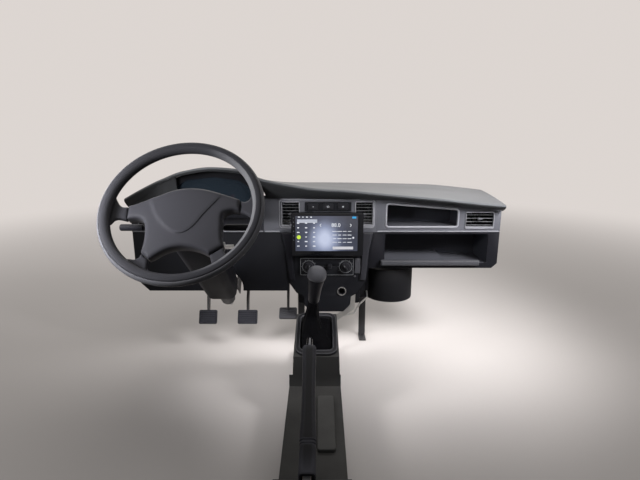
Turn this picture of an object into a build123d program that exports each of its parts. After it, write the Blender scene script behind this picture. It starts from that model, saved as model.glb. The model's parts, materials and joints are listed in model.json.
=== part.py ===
from build123d import *
from math import cos, sin, radians
import os

# Cockpit of a microvan: the dashboard on its steel cross beam, with the steering column and
# wheel, the pedals, and the floor console with gear lever and handbrake.
# Millimetres. +X towards the passenger, +Y forwards, +Z up.
# The origin is the middle of the four holes by which the beam is bolted to the bulkhead.

os.makedirs("parts", exist_ok=True)

skin = 3.5          # thickness of the moulded panels
fit = 0.3           # clearance between pieces that are seated in each other
floor_z = -430      # cab floor below the bolts

# Cross beam and its brackets
end_x = 600         # half the width over the dashboard's ends
beam_y = -58
beam_r = 20
beam_wall = 2.5
plate_x = (end_x - 100, end_x - 10)
plate_z = 50
plate_thick = 5
bolt_x = end_x - 55
bolt_z = 32
bolt_r = 4.5
sheet = 4           # steel sheet of brackets and stays

# Dashboard faces
fascia_y = -226     # front face of the fascia panels
fascia_low = 12     # lower edge of the fascia panels
back_y = fascia_y + skin
far_y = -20         # edge at the windscreen
stack_x = 37        # middle of the centre stack, set towards the passenger
socket_x, socket_z = 86, -191
split_left = -169.5     # joint between driver's and centre fascia
split_right = 196.5     # joint between centre and passenger's fascia

# Steering
wheel_x, wheel_y, wheel_z = -304, -639, 157.6
column_angle = 40.8     # column against the floor
wheel_turn = 4          # the wheel stands turned a little to the left
rim_major = 176
rim_minor = 14
shaft_r = 10
jacket_r = 24
jacket_end = 590
shaft_start, shaft_end = 40.4, 640
clamp_r = 8.5           # turned-down end for the joint's clamp
clamp_length = 40
shroud_start, shroud_end = 50, 484

# Console
console_half = 66
nose_z = -402
console_rear = -1115
pivot_y, pivot_z = console_rear + 46, -235      # handbrake pivot
lever_x = -8.5
console_x = 3


def block(x, y, z, mode=Mode.ADD):
    # a box between low and high values on each axis
    with Locations(((x[0] + x[1]) / 2, (y[0] + y[1]) / 2, (z[0] + z[1]) / 2)):
        Box(x[1] - x[0], y[1] - y[0], z[1] - z[0], mode=mode)


def plate(points, y0, y1, mode=Mode.ADD, corner=0):
    # an outline in X and Z, as thick as from y0 to y1
    with BuildSketch(Plane.XZ.offset(-y1)) as outline:
        with BuildLine():
            Polyline(*points, close=True)
        make_face()
        if corner:
            fillet(outline.vertices(), corner)
    extrude(outline.sketch, amount=y1 - y0, mode=mode)


def side(points, x0, x1, mode=Mode.ADD, plane=Plane.YZ):
    # an outline in Y and Z, as thick as from x0 to x1
    with BuildSketch(plane.offset(x0)) as outline:
        with BuildLine():
            Polyline(*points, close=True)
        make_face()
    extrude(outline.sketch, amount=x1 - x0, mode=mode)


def window(x, z, y0, y1, corner, mode=Mode.SUBTRACT):
    # a rounded rectangular opening or block through a fascia
    with BuildSketch(Plane.XZ.offset(-y1)) as outline:
        with Locations(((x[0] + x[1]) / 2, (z[0] + z[1]) / 2)):
            RectangleRounded(x[1] - x[0], z[1] - z[0], corner)
    extrude(outline.sketch, amount=y1 - y0, mode=mode)


def save(piece, label):
    piece.part.label = label
    export_step(piece.part, f"parts/{label}.step")


# Cross beam, a steel tube from end to end
with BuildPart() as cross_beam:
    with Locations((0, beam_y, 0)):
        Cylinder(beam_r, 2 * (end_x - 4.3), rotation=(0, 90, 0))
        Cylinder(beam_r - beam_wall, 2 * end_x, rotation=(0, 90, 0), mode=Mode.SUBTRACT)
save(cross_beam, "cross_beam")

# End brackets: a bolted plate and two gussets around the tube
for name, way in (("left", -1), ("right", 1)):
    with BuildPart() as bracket:
        xs = sorted((way * plate_x[0], way * plate_x[1]))
        block(xs, (-plate_thick, 0), (-plate_z, plate_z))
        for gusset in (plate_x[0] + 8, plate_x[1] - 12):
            x0 = way * gusset - sheet / 2
            side([(-plate_thick, -plate_z + 8), (-plate_thick, plate_z - 8), (beam_y - 8, beam_r + 10),
                  (beam_y - beam_r - 10, beam_r - 4), (beam_y - beam_r - 10, 4 - beam_r),
                  (beam_y - 8, -beam_r - 10)], x0, x0 + sheet)
        with Locations((way * bolt_x, beam_y, 0)):
            Cylinder(beam_r + fit, 200, rotation=(0, 90, 0), mode=Mode.SUBTRACT)
        with Locations((way * bolt_x, 0, bolt_z), (way * bolt_x, 0, -bolt_z)):
            Cylinder(bolt_r, 40, rotation=(90, 0, 0), mode=Mode.SUBTRACT)
    save(bracket, f"end_bracket_{name}")

# Centre stays: straps from the beam to the floor beside the heater
with BuildPart() as centre_stays:
    for x0 in (-70, 160):
        block((x0, x0 + 25), (beam_y - 4, beam_y), (floor_z, -beam_r + 8))
        block((x0, x0 + 25), (beam_y - 50, beam_y), (floor_z, floor_z + sheet))
    with Locations((50, beam_y, 0)):
        Cylinder(beam_r + fit, 400, rotation=(0, 90, 0), mode=Mode.SUBTRACT)
save(centre_stays, "centre_stays")

# Top pad: one padded shell from the windscreen to the lip, raised as a hood over the cluster
# x, lip y, lip z, far z, skirt y, skirt z
pad_sections = [
    (-end_x, -262, 127, 125, -233, 95),
    (-550, -265, 154, 132, -233, 101),
    (-480, -288, 185, 139, -233, 106),
    (-473, -290, 188, 140, -287, 174),
    (-395, -315, 217, 145, -312, 203),
    (-311, -325, 230, 148, -322, 216),
    (-235, -322, 224, 150, -319, 210),
    (-166, -300, 194, 151, -297, 180),
    (-160, -298, 192, 151, -233, 126),
    (-85, -275, 173, 152, -233, 125),
    (0, -262, 159, 152, -233, 123),
    (94, -261, 153.5, 151.5, -233, 121),
    (196, -260, 144, 150, -233, 119),
    (400, -260, 125.5, 145, -233, 101),
    (533, -259, 111.5, 133, -233, 89),
    (end_x, -258, 106, 125, -233, 83),
]
with BuildPart() as top_pad:
    for x, lip_y, lip_z, far_z, skirt_y, skirt_z in pad_sections:
        with BuildSketch(Plane.YZ.offset(x)):
            with BuildLine():
                Polyline((far_y, far_z), (lip_y + 8, lip_z), (lip_y, lip_z - 6), (skirt_y, skirt_z),
                         (skirt_y + 6.5, skirt_z + 0.5), (lip_y + 8, lip_z - 6.5),
                         (lip_y + 12, lip_z - 4), (far_y, far_z - 4), close=True)
            make_face()
    loft(ruled=True)
save(top_pad, "top_pad")

# End caps close the dashboard beside the doors
# x of the left face, height under the pad at the front and at the windscreen, lower edge
with BuildPart() as end_caps:
    for x0, top_front, top_far, low in ((-end_x + 0.5, 122.2, 120.5, -150), (end_x - 4, 102.6, 120.1, -95)):
        side([(back_y + 0.2, low), (back_y + 0.2, top_front), (far_y - 4, top_far),
              (far_y - 4, -40), (beam_y - 60, low)], x0, x0 + skin)
save(end_caps, "end_caps")

# Side vents and centre vents share one form: middle x, middle z, width, height
vent_depth = 44
head_half = 87          # half the width of the head unit's box
head_low, head_top = -42, 56
centre_vent_wide = 61
vent_reach = head_half + 1.5 + centre_vent_wide / 2     # centre vents from the stack's middle
slat_pitch = 10
side_vent_x = end_x - 69
side_vent_table = [(-side_vent_x, 51, 94, 56), (side_vent_x, 51, 94, 56)]
centre_vent_table = [(stack_x - vent_reach, 71.5, centre_vent_wide, 83),
                     (stack_x + vent_reach, 71.5, centre_vent_wide, 83)]


def air_vents(table):
    for x, z, wide, high in table:
        w, h = wide / 2, high / 2
        slats = round((high - 12) / slat_pitch)
        window((x - w, x + w), (z - h, z + h), fascia_y - 3, fascia_y, 4, Mode.ADD)
        window((x - w + 3, x + w - 3), (z - h + 3, z + h - 3), fascia_y - 3, fascia_y + vent_depth, 3,
               Mode.ADD)
        window((x - w + 6, x + w - 6), (z - h + 6, z + h - 6), fascia_y - 5, fascia_y + vent_depth + 1, 2)
        pitch = (high - 12) / slats
        for i in range(slats):
            with Locations((x, fascia_y + 9, z - h + 6 + pitch * (i + 0.5))):
                Box(wide - 11, 18, 2, rotation=(-12, 0, 0))
        with Locations((x, fascia_y - 1, z - h + 6 + pitch * (slats // 2 + 0.5))):
            Box(14, 10, 5)


with BuildPart() as side_vents:
    air_vents(side_vent_table)
save(side_vents, "side_vents")

with BuildPart() as centre_vents:
    air_vents(centre_vent_table)
save(centre_vents, "centre_vents")

# Fascia panels: label, outline in X and Z, vents in it, other openings
pocket_outline = [(228, 29), (460.5, 29), (460.5, 86), (228, 105)]
with BuildPart() as fascia_passenger:
    plate([(split_right, fascia_low), (end_x - 0.5, fascia_low), (end_x - 0.5, 89), (split_right, 125)],
          fascia_y, back_y)
    block((split_right, end_x - 4.5), (back_y, back_y + 14), (fascia_low, fascia_low + skin))
    plate(pocket_outline, fascia_y - 1, back_y + 1, Mode.SUBTRACT, 9)
    window((side_vent_x - 44.3, side_vent_x + 44.3), (25.7, 76.3), fascia_y - 1, fascia_y + 30, 3)
save(fascia_passenger, "fascia_passenger")

with BuildPart() as fascia_centre:
    plate([(split_left, fascia_low), (split_right - 0.4, fascia_low), (split_right - 0.4, 125),
           (split_left, 132)], fascia_y, back_y)
    for x in (stack_x - vent_reach, stack_x + vent_reach):
        half = centre_vent_wide / 2 - 2.7
        window((x - half, x + half), (32.7, 110.3), fascia_y - 1, back_y + 1, 3)
    window((-33.3, 111.3), (83.7, 109.3), fascia_y - 1, back_y + 1, 2)
    block((stack_x - head_half - 1, stack_x + head_half + 1), (fascia_y - 1, back_y + 1),
          (fascia_low - 1, head_top + 1), Mode.SUBTRACT)
save(fascia_centre, "fascia_centre")

with BuildPart() as fascia_driver:
    plate([(-end_x + 0.5, fascia_low), (split_left - 0.4, fascia_low), (split_left - 0.4, 70), (-474.5, 70),
           (-474.5, 112), (-550, 107), (-end_x + 0.5, 101)], fascia_y, back_y)
    block((-end_x + 4.5, split_left - 0.4), (back_y, back_y + 14), (fascia_low, fascia_low + skin))
    window((-side_vent_x - 44.3, 44.3 - side_vent_x), (25.7, 76.3), fascia_y - 1, fascia_y + 30, 3)
save(fascia_driver, "fascia_driver")

# Upper pocket in the passenger's fascia
def pocket_ring(grow):
    (x0, z0), (x1, _), (_, z2), (_, z3) = pocket_outline
    return [(x0 - grow, z0 - grow), (x1 + grow, z0 - grow), (x1 + grow, z2 + grow), (x0 - grow, z3 + grow)]


with BuildPart() as pocket_box:
    plate(pocket_ring(3.5), fascia_y - 2.5, fascia_y, corner=11)
    plate(pocket_ring(-fit), fascia_y - 2.5, -145, corner=9)
    plate(pocket_ring(-2.5), fascia_y - 4, -148, Mode.SUBTRACT, 7)
save(pocket_box, "pocket_box")

# Cluster: bezel box that fills the hood, clear lens, dial plate and its housing
hood_line = [(-472.5, 173), (-395, 206), (-311, 216), (-235, 211.5), (-166.5, 187)]
bezel_y = -283
cluster_window = [(-428, 86), (-198, 86), (-198, 160), (-235, 186), (-311, 196), (-395, 187), (-428, 166)]
with BuildPart() as cluster_bezel:
    plate([(-472.5, 70.4), *hood_line, (-166.5, 70.4)], bezel_y, fascia_y - 0.2)
    plate([(-469, 73.9), (-469, 240), (-170, 240), (-170, 73.9)],
          bezel_y + skin, fascia_y + 1, Mode.SUBTRACT)
    plate(cluster_window, bezel_y - 1, bezel_y + skin + 1, Mode.SUBTRACT, 10)
    block((-480, -160), (bezel_y + skin + 0.1, fascia_y + 1), (160, 240), Mode.SUBTRACT)
save(cluster_bezel, "cluster_bezel")

lens_y = bezel_y + skin
lens_outline = [(-434, 80), (-192, 80), (-192, 163), (-232, 191), (-311, 201), (-397, 192), (-434, 169)]
with BuildPart() as cluster_lens:
    plate(lens_outline, lens_y, lens_y + 2, corner=12)
save(cluster_lens, "cluster_lens")

with BuildPart() as cluster_housing:
    plate(lens_outline, lens_y + 2, -165, corner=12)
    plate([(x * 0.975 - 7.8, z * 0.975 + 3.4) for x, z in lens_outline], lens_y + 1, -168, Mode.SUBTRACT, 10)
    side([(lens_y, 209), (-160, 168), (-160, 240), (lens_y, 240)], -500, -150, Mode.SUBTRACT)
save(cluster_housing, "cluster_housing")

with BuildPart() as cluster_dials:
    plate([(x * 0.965 - 10.9, z * 0.965 + 4.6) for x, z in lens_outline], -243, -240, corner=9)
    with BuildSketch(Plane.XZ.offset(243)):
        with Locations((-362, 132), (-262, 132)):
            Circle(44)
            Circle(41, mode=Mode.SUBTRACT)
    extrude(amount=3)
save(cluster_dials, "cluster_dials")

# Switch panel between the centre vents, with three rocker switches
with BuildPart() as switch_panel:
    window((-36, 114), (81, 112), fascia_y - 2, fascia_y, 3, Mode.ADD)
    window((-33, 111), (84, 109), fascia_y - 2, fascia_y + 32, 2, Mode.ADD)
    for i in range(3):
        window((-26 + 48 * i, 8 + 48 * i), (87, 106), fascia_y - 4, fascia_y, 2)
save(switch_panel, "switch_panel")

with BuildPart() as rocker_switches:
    for i in range(3):
        window((-25.7 + 48 * i, 7.7 + 48 * i), (87.3, 105.7), fascia_y - 4, fascia_y - fit, 2, Mode.ADD)
save(rocker_switches, "rocker_switches")

# Head unit: steel box in the slot and a wide screen in front of it
screen_y = fascia_y - 24
with BuildPart() as head_unit_box:
    block((stack_x - head_half, stack_x + head_half), (fascia_y - 7, -145), (head_low, head_top))
save(head_unit_box, "head_unit_box")

with BuildPart() as head_unit_screen:
    window((stack_x - 116.5, stack_x + 115.5), (-63.5, 80.5), screen_y, fascia_y - 7, 6, Mode.ADD)
    fillet(head_unit_screen.faces().sort_by(Axis.Y)[0].edges(), 2)
save(head_unit_screen, "head_unit_screen")

# Centre stack below the fascia, narrowing downwards: half width and height of its edge
stack_edge = [(153.5, 11.6), (140.5, -48), (134.5, -117), (129.5, -155), (101, -196), (78, -210), (76, -243),
              (55, -265)]
stack_back = -190


def stack_outline(inset, top, bottom):
    # the stack's outline, drawn in by inset, with its top and bottom edges at their own heights
    heights = [top] + [z for _, z in stack_edge[1:-1]] + [bottom]
    right = [(stack_x + half - inset, z) for (half, _), z in zip(stack_edge, heights)]
    left = [(2 * stack_x - x, z) for x, z in reversed(right)]
    return right + left


with BuildPart() as centre_stack:
    plate(stack_outline(0, fascia_low - 0.4, stack_edge[-1][1]), fascia_y, stack_back)
    plate(stack_outline(skin, fascia_low + 8, stack_edge[-1][1] - 5), back_y, stack_back + 2, Mode.SUBTRACT)
    block((stack_x - head_half - 1, stack_x + head_half + 1), (fascia_y - 1, back_y + 1),
          (head_low - 0.5, 20), Mode.SUBTRACT)
    window((stack_x - 84, stack_x + 84), (-128.3, -79.7), fascia_y - 1, back_y + 1, 3)
    with Locations((socket_x, fascia_y, socket_z)):
        Cylinder(14.3, 20, rotation=(90, 0, 0), mode=Mode.SUBTRACT)
save(centre_stack, "centre_stack")

# Grey trims down both sides of the stack: half widths of the inner and outer edge, and height
trim_edge = [(116, 149, 11), (113, 137, -48), (111, 131, -117), (107, 127, -152)]
with BuildPart() as stack_trims:
    for way in (-1, 1):
        inner_line = [(stack_x + way * inner, z) for inner, _, z in trim_edge]
        outer_line = [(stack_x + way * outer, z) for _, outer, z in trim_edge]
        plate(inner_line + outer_line[::-1], fascia_y - 7, fascia_y)
    fillet(stack_trims.faces().filter_by(Plane.XZ).group_by(Axis.Y)[0].edges(), 5)
save(stack_trims, "stack_trims")

# Heater panel with its two knobs and the air slider between them
heater_z = -104
panel_y = fascia_y - 5
with BuildPart() as heater_panel:
    window((stack_x - 90, stack_x + 88), (heater_z - 30, heater_z + 30), panel_y, fascia_y, 4, Mode.ADD)
    window((stack_x - 83.5, stack_x + 83.5), (heater_z - 24, heater_z + 24), panel_y, fascia_y + 34, 3,
           Mode.ADD)
    block((stack_x - 27, stack_x + 27), (panel_y - 1, panel_y + 3), (heater_z + 1, heater_z + 6),
          Mode.SUBTRACT)
save(heater_panel, "heater_panel")

with BuildPart() as heater_controls:
    for x in (stack_x - 61, stack_x + 61):
        with BuildSketch(Plane.XZ.offset(-panel_y)):
            with Locations((x, heater_z)):
                Circle(19)
        extrude(amount=4)
        with BuildSketch(Plane.XZ.offset(-panel_y + 4)):
            with Locations((x, heater_z)):
                Circle(15)
        extrude(amount=12, taper=4)
        with Locations((x, fascia_y - 23, heater_z)):
            Box(5, 5, 27, rotation=(0, 35, 0))
    block((stack_x + 2, stack_x + 14), (fascia_y - 17, fascia_y - 2), (heater_z + 1.2, heater_z + 5.8))
    block((stack_x, stack_x + 16), (fascia_y - 17, fascia_y - 5), (heater_z - 4, heater_z + 11))
save(heater_controls, "heater_controls")

# Twelve volt socket
with BuildPart() as power_socket:
    with Locations((socket_x, fascia_y - 1.5, socket_z)):
        Cylinder(17, 3, rotation=(90, 0, 0))
    with Locations((socket_x, fascia_y + 19, socket_z)):
        Cylinder(14, 44, rotation=(90, 0, 0))
    with Locations((socket_x, fascia_y + 14, socket_z)):
        Cylinder(10.5, 44, rotation=(90, 0, 0), mode=Mode.SUBTRACT)
save(power_socket, "power_socket")

# Driver's knee panel with the arch for the column
stack_left = [(stack_x - half - 0.5, z) for half, z in stack_edge[:4]]
with BuildPart() as knee_panel:
    plate([(-end_x + 0.5, 11.6), *stack_left, (stack_left[-1][0], -190), (-560, -190), (-end_x + 0.5, -150)],
          fascia_y, back_y)
    block((-560, stack_left[-1][0]), (back_y, back_y + 20), (-190, -190 + skin))
    block((wheel_x - 59, wheel_x + 59), (fascia_y - 5, back_y + 30), (-200, -179), Mode.SUBTRACT)
    with Locations((wheel_x, fascia_y, -179)):
        Cylinder(59, 80, rotation=(90, 0, 0), mode=Mode.SUBTRACT)
save(knee_panel, "knee_panel")

# Passenger's side: face below the fascia, open tray behind it, and the grab lip
with BuildPart() as passenger_face:
    plate([(191, 11.6), (end_x - 0.5, 11.6), (end_x - 0.5, -94), (582, -110), (172.6, -110), (178, -48)],
          fascia_y, back_y)
    window((226, 563), (-92.5, 5.5), fascia_y - 1, back_y + 1, 8)
save(passenger_face, "passenger_face")

tray_back = -92
with BuildPart() as glove_tray:
    block((222, 567), (back_y, tray_back), (-96.5, 9.5))
    block((226, 563), (back_y - 1, tray_back - skin), (-92.5, 5.5), Mode.SUBTRACT)
    block((226, 424), (back_y, tray_back), (-93, -80.5))
save(glove_tray, "glove_tray")

with BuildPart() as tray_lip:
    block((213, 536), (fascia_y - 18, fascia_y), (-98, -81))
    fillet(tray_lip.faces().sort_by(Axis.Y)[0].edges(), 5)
save(tray_lip, "tray_lip")

# Heater case, blower and the air ducts to the vents
with BuildPart() as heater_case:
    block((-62, 150), (-185, -82), (-250, -62))
    fillet(heater_case.edges().filter_by(Axis.Y), 8)
    block((150, 170), (-170, -95), (-236, -134))
save(heater_case, "heater_case")

with BuildPart() as blower:
    with Locations((256, -132, -180)):
        Cylinder(82, 112)
        Cylinder(38, 128)
    block((170, 256), (-170, -95), (-236, -134))
    block((180, 300), (-96, -84), (-160, -124))
save(blower, "blower")

duct_y = (-139, -89)
duct_z = (38, 92)
with BuildPart() as air_ducts:
    block((-20, 95), duct_y, (-62, 50))
    block((stack_x - 148, stack_x + 148), duct_y, (34, 112))
    for x in (stack_x - vent_reach, stack_x + vent_reach):
        block((x - 27, x + 27), (fascia_y + vent_depth, duct_y[0]), (40, 103))
    block((-578, stack_x - 147), duct_y, duct_z)
    block((stack_x + 147, 578), duct_y, duct_z)
    for x in (-side_vent_x, side_vent_x):
        block((x - 44, x + 44), (fascia_y + vent_depth, duct_y[0]), (29, 73))
    block((-17, 92), (duct_y[0] + 3, duct_y[1] - 3), (-65, 50), Mode.SUBTRACT)
    block((stack_x - 145, stack_x + 145), (duct_y[0] + 3, duct_y[1] - 3), (41, 109), Mode.SUBTRACT)
    block((-575, 575), (duct_y[0] + 3, duct_y[1] - 3), (41, 89), Mode.SUBTRACT)
    for x, half, low, high in ((-side_vent_x, 41, 41, 70), (side_vent_x, 41, 41, 70),
                               (stack_x - vent_reach, 24, 43, 100), (stack_x + vent_reach, 24, 43, 100)):
        block((x - half, x + half), (fascia_y + vent_depth - 1, duct_y[0] + 4), (low, high), Mode.SUBTRACT)
save(air_ducts, "air_ducts")

# Steering column. Along the column: s runs from the wheel's middle down to the floor.
tilt = radians(column_angle)
wheel_centre = Vector(wheel_x, wheel_y, wheel_z)
column_way = Vector(0, cos(tilt), -sin(tilt))
column_side = Plane(origin=wheel_centre, x_dir=column_way, z_dir=(1, 0, 0))
turn = radians(wheel_turn)
wheel_plane = Plane(origin=wheel_centre, x_dir=(cos(turn), sin(turn) * sin(tilt), sin(turn) * cos(tilt)),
                    z_dir=-column_way)
beam_s = (beam_y - wheel_y) * cos(tilt) + wheel_z * sin(tilt)
beam_n = (beam_y - wheel_y) * sin(tilt) - wheel_z * cos(tilt)


def across(s):
    # plane square to the column at s, local x to the passenger, local y up and forwards
    return Plane(origin=wheel_centre + column_way * s, x_dir=(1, 0, 0), z_dir=-column_way)


with BuildPart() as column_jacket:
    with BuildSketch(across(64)):
        Circle(jacket_r)
        Circle(jacket_r - 2, mode=Mode.SUBTRACT)
    extrude(amount=-(jacket_end - 64))
    for s in (66, jacket_end - 22):
        with BuildSketch(across(s)):
            Circle(jacket_r - 1)
            Circle(shaft_r + fit, mode=Mode.SUBTRACT)
        extrude(amount=-20)
save(column_jacket, "column_jacket")

with BuildPart() as column_shaft:
    with BuildSketch(across(shaft_start)):
        Circle(shaft_r)
    extrude(amount=-(shaft_end - clamp_length - shaft_start))
    with BuildSketch(across(shaft_start)):
        Circle(clamp_r)
    extrude(amount=-(shaft_end - shaft_start))
save(column_shaft, "column_shaft")

# Steel bracket from the beam to the column, and the saddle that holds the jacket
saddle_s = (510, 576)
with BuildPart() as column_bracket:
    for x0 in (-44, 40):
        side([(saddle_s[0], jacket_r - 14), (saddle_s[1], jacket_r - 14), (beam_s + 26, beam_n - 20),
              (beam_s + 26, beam_n + 24), (beam_s - 26, beam_n + 24), (beam_s - 26, beam_n - 20)],
             x0, x0 + sheet, plane=column_side)
    with Locations(column_side):
        with Locations(((saddle_s[0] + saddle_s[1]) / 2, jacket_r + fit + 2, 0)):
            Box(saddle_s[1] - saddle_s[0], sheet, 88)
    with Locations((wheel_x, beam_y, 0)):
        Cylinder(beam_r + fit, 120, rotation=(0, 90, 0), mode=Mode.SUBTRACT)
save(column_bracket, "column_bracket")

# Combination switch around the jacket, which carries the shroud and the stalks
with BuildPart() as stalk_switch:
    with BuildSketch(across(66)):
        RectangleRounded(100, 89, 27)
        Circle(jacket_r + fit, mode=Mode.SUBTRACT)
    extrude(amount=-42)
save(stalk_switch, "stalk_switch")

# Column shroud in two halves: s, width, height, corner radius
shroud_sections = [(shroud_start, 112, 100, 28), (300, 102, 92, 26), (shroud_end, 96, 86, 24)]
stalk_s = 87
for name, way in (("upper", 1), ("lower", -1)):
    with BuildPart() as shroud:
        for s, wide, high, corner in shroud_sections:
            with BuildSketch(across(s)):
                RectangleRounded(wide, high, corner)
        loft(ruled=True)
        for s, wide, high, corner in shroud_sections:
            with BuildSketch(across(s)):
                RectangleRounded(wide - 8, high - 8, corner - 4)
        loft(ruled=True, mode=Mode.SUBTRACT)
        with Locations(across(stalk_s)):
            Box(140, 26, 34, mode=Mode.SUBTRACT)
        with Locations(across(170)):
            with Locations((46, -12, 0)):
                Cylinder(15 + fit, 60, rotation=(0, 90, 0), mode=Mode.SUBTRACT)
        with Locations(across(270)):
            with Locations((0, -way * 100 + way * 0.2, 0)):
                Box(300, 200, 700, mode=Mode.SUBTRACT)
    save(shroud, f"shroud_{name}")

# Stalks: lights on the left, wipers on the right, each with a thicker handle
handle_long = 58
for name, way, reach in (("lights", -1, 176), ("wipers", 1, 142)):
    with BuildPart() as stalk:
        root = across(stalk_s).from_local_coords((way * 50.2, 0, 0))
        with BuildSketch(Plane(origin=root, x_dir=(0, 1, 0), z_dir=(way, 0, 0))):
            Circle(6)
        extrude(amount=reach - 100)
        handle = across(stalk_s).from_local_coords((way * (reach - handle_long), 0, 0))
        with BuildSketch(Plane(origin=handle, x_dir=(0, 1, 0), z_dir=(way, 0, 0))):
            Circle(8.5)
        extrude(amount=handle_long)
        fillet(stalk.edges().sort_by(Axis.X)[-1 if way > 0 else 0], 4)
    save(stalk, f"stalk_{name}")

# Ignition lock and its key on the right of the column
with BuildPart() as ignition_lock:
    with Locations(across(170)):
        with Locations((45, -12, 0)):
            Cylinder(15, 34, rotation=(0, 90, 0))
        with Locations((64, -12, 0)):
            Cylinder(13, 6, rotation=(0, 90, 0))
        with Locations((79, -12, 0)):
            Box(26, 3, 20)
        with Locations((27.3, -6, 0)):
            Box(6, 20, 24)
save(ignition_lock, "ignition_lock")

# Steering wheel: foam rim with its four spoke ends
rim_axis = Axis(wheel_centre, -column_way)
with BuildPart() as wheel_rim:
    with BuildSketch(Plane(origin=wheel_centre, x_dir=(1, 0, 0), z_dir=wheel_plane.y_dir)):
        with Locations((rim_major, 0)):
            Circle(rim_minor)
    revolve(axis=rim_axis)
    with BuildSketch(wheel_plane.offset(-33)):
        for way in (-1, 1):
            with BuildLine():
                Polyline((way * 130, 26), (way * 130, -5), (way * 152, -22),
                         (way * (rim_major - 10), -36), (way * (rim_major - 6), 5),
                         (way * (rim_major - 10), 46), (way * 152, 24), close=True)
            make_face()
            with BuildLine():
                Polyline((way * 91.4, -95.5), (way * (rim_major - 58), -117),
                         (way * (rim_major - 70), -134), (way * (rim_major - 86), -145),
                         (way * 67.4, -112.5), close=True)
            make_face()
    extrude(amount=26)
save(wheel_rim, "wheel_rim")

# Airbag and horn cover over the hub
with BuildPart() as wheel_pad:
    with BuildSketch(wheel_plane.offset(-40)):
        with BuildLine():
            ThreePointArc((-129.5, 27), (0, 62), (129.5, 27))
            Line((129.5, 27), (129.5, -4))
            Line((129.5, -4), (104, -4))
            ThreePointArc((104, -4), (93.5, -8.5), (89.5, -20))
            ThreePointArc((89.5, -20), (87.5, -58), (91, -95))
            Line((91, -95), (67, -112))
            ThreePointArc((67, -112), (0, -90), (-67, -112))
            Line((-67, -112), (-91, -95))
            ThreePointArc((-91, -95), (-87.5, -58), (-89.5, -20))
            ThreePointArc((-89.5, -20), (-93.5, -8.5), (-104, -4))
            Line((-104, -4), (-129.5, -4))
            Line((-129.5, -4), (-129.5, 27))
        make_face()
    extrude(amount=26)
save(wheel_pad, "wheel_pad")

# Boss behind the cover, pressed on the shaft
with BuildPart() as wheel_boss:
    with BuildSketch(wheel_plane.offset(-40.2)):
        RectangleRounded(120, 90, 24)
    extrude(amount=-4)
    with BuildSketch(wheel_plane.offset(-40)):
        Circle(30)
    extrude(amount=-16)
    with BuildSketch(wheel_plane.offset(-20)):
        Circle(shaft_r + 0.1)
    extrude(amount=-50, mode=Mode.SUBTRACT)
    with Locations(wheel_plane):
        with Locations((0, 0, 50 - 40.2)):
            Box(300, 300, 100, mode=Mode.SUBTRACT)
save(wheel_boss, "wheel_boss")

# Pedals: hung from a bracket below the beam
hang_y, hang_z = -72, -78
with BuildPart() as pedal_bracket:
    for x in (-408, -214, -80):
        side([(beam_y - beam_r - 6, 12), (beam_y + beam_r + 6, 12), (beam_y + beam_r, hang_z - 12),
              (hang_y - 14, hang_z - 12)], x, x + sheet)
    with Locations((-246, hang_y, hang_z)):
        Cylinder(6, 340, rotation=(0, 90, 0))
    with Locations((-250, beam_y, 0)):
        Cylinder(beam_r + fit, 400, rotation=(0, 90, 0), mode=Mode.SUBTRACT)
save(pedal_bracket, "pedal_bracket")

# name, x, pad width, pad height, pad middle y, pad middle z, lean of the pad
pedals = [
    ("clutch", -378, 60, 46, -190, -300, 25),
    ("brake", -240, 66, 46, -190, -300, 25),
    ("accelerator", -100, 60, 42, -168, -296, 55),
]
for name, x, wide, high, pad_y, pad_z, lean in pedals:
    with BuildPart() as pedal:
        side([(hang_y - 9, hang_z + 6), (hang_y + 9, hang_z + 6), (hang_y + 11, hang_z - 20),
              (pad_y + 34, pad_z + 60), (pad_y + 8, pad_z - 4), (pad_y + 2, pad_z + 6),
              (pad_y + 14, pad_z + 66), (hang_y - 10, hang_z - 20)], x - 4, x + 4)
        with Locations((x, hang_y, hang_z)):
            Cylinder(12, 26, rotation=(0, 90, 0))
            Cylinder(6 + fit, 40, rotation=(0, 90, 0), mode=Mode.SUBTRACT)
        with Locations((x, pad_y, pad_z)):
            Box(wide, 7, high, rotation=(-lean, 0, 0))
    save(pedal, f"pedal_{name}")

# Floor console: low nose below the stack, gear housing, tray and handbrake block in one moulding
gear_front = (-380, -209)
gear_rear = (-560, -256)
tray_front = (-570, -338)
tray_rear = (console_rear + 134, -350)
block_top = -262
block_y = (console_rear + 8, console_rear + 124)
nose_front = -213
console_profile = [(nose_front, floor_z), (nose_front, nose_z), (-345, nose_z + 14), gear_front, gear_rear,
                   tray_front, tray_rear, (block_y[1], block_top), (block_y[0], block_top),
                   (console_rear, floor_z)]
deck_left = 7                   # the deck behind the gear housing is this much wider on the left
lid_x = (console_x + 4, console_x + 44.5)
lid_y = (-821, -624)
lid_rise = 9


def console_form(inset):
    # the console's outer form, or its inside with the wall taken off; the floor side stays open
    half = console_half - inset
    with BuildPart() as form:
        with BuildSketch(Plane.YZ.offset(console_x - half - deck_left)):
            with BuildLine():
                Polyline(*console_profile, close=True)
            make_face()
            if inset:
                offset(amount=-inset, kind=Kind.INTERSECTION, mode=Mode.REPLACE)
        extrude(amount=2 * half + deck_left)
        if inset:
            block((console_x - half - deck_left, console_x + half), (console_rear + 4, nose_front - inset),
                  (floor_z - 1, floor_z + inset + 1))
        block((console_x - half - deck_left - 1, console_x - half), (-566 - inset, nose_front + 1),
              (floor_z - 2, 0), Mode.SUBTRACT)
        lean_low = tray_front[1] - 40
        for way in (-1, 1):
            leaning = [(half, lean_low), (half - 6, -200), (half + 30, -200), (half + 30, lean_low)]
            plate([(console_x + way * x, z) for x, z in leaning], -566, -330, Mode.SUBTRACT)
    return form.part


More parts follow.
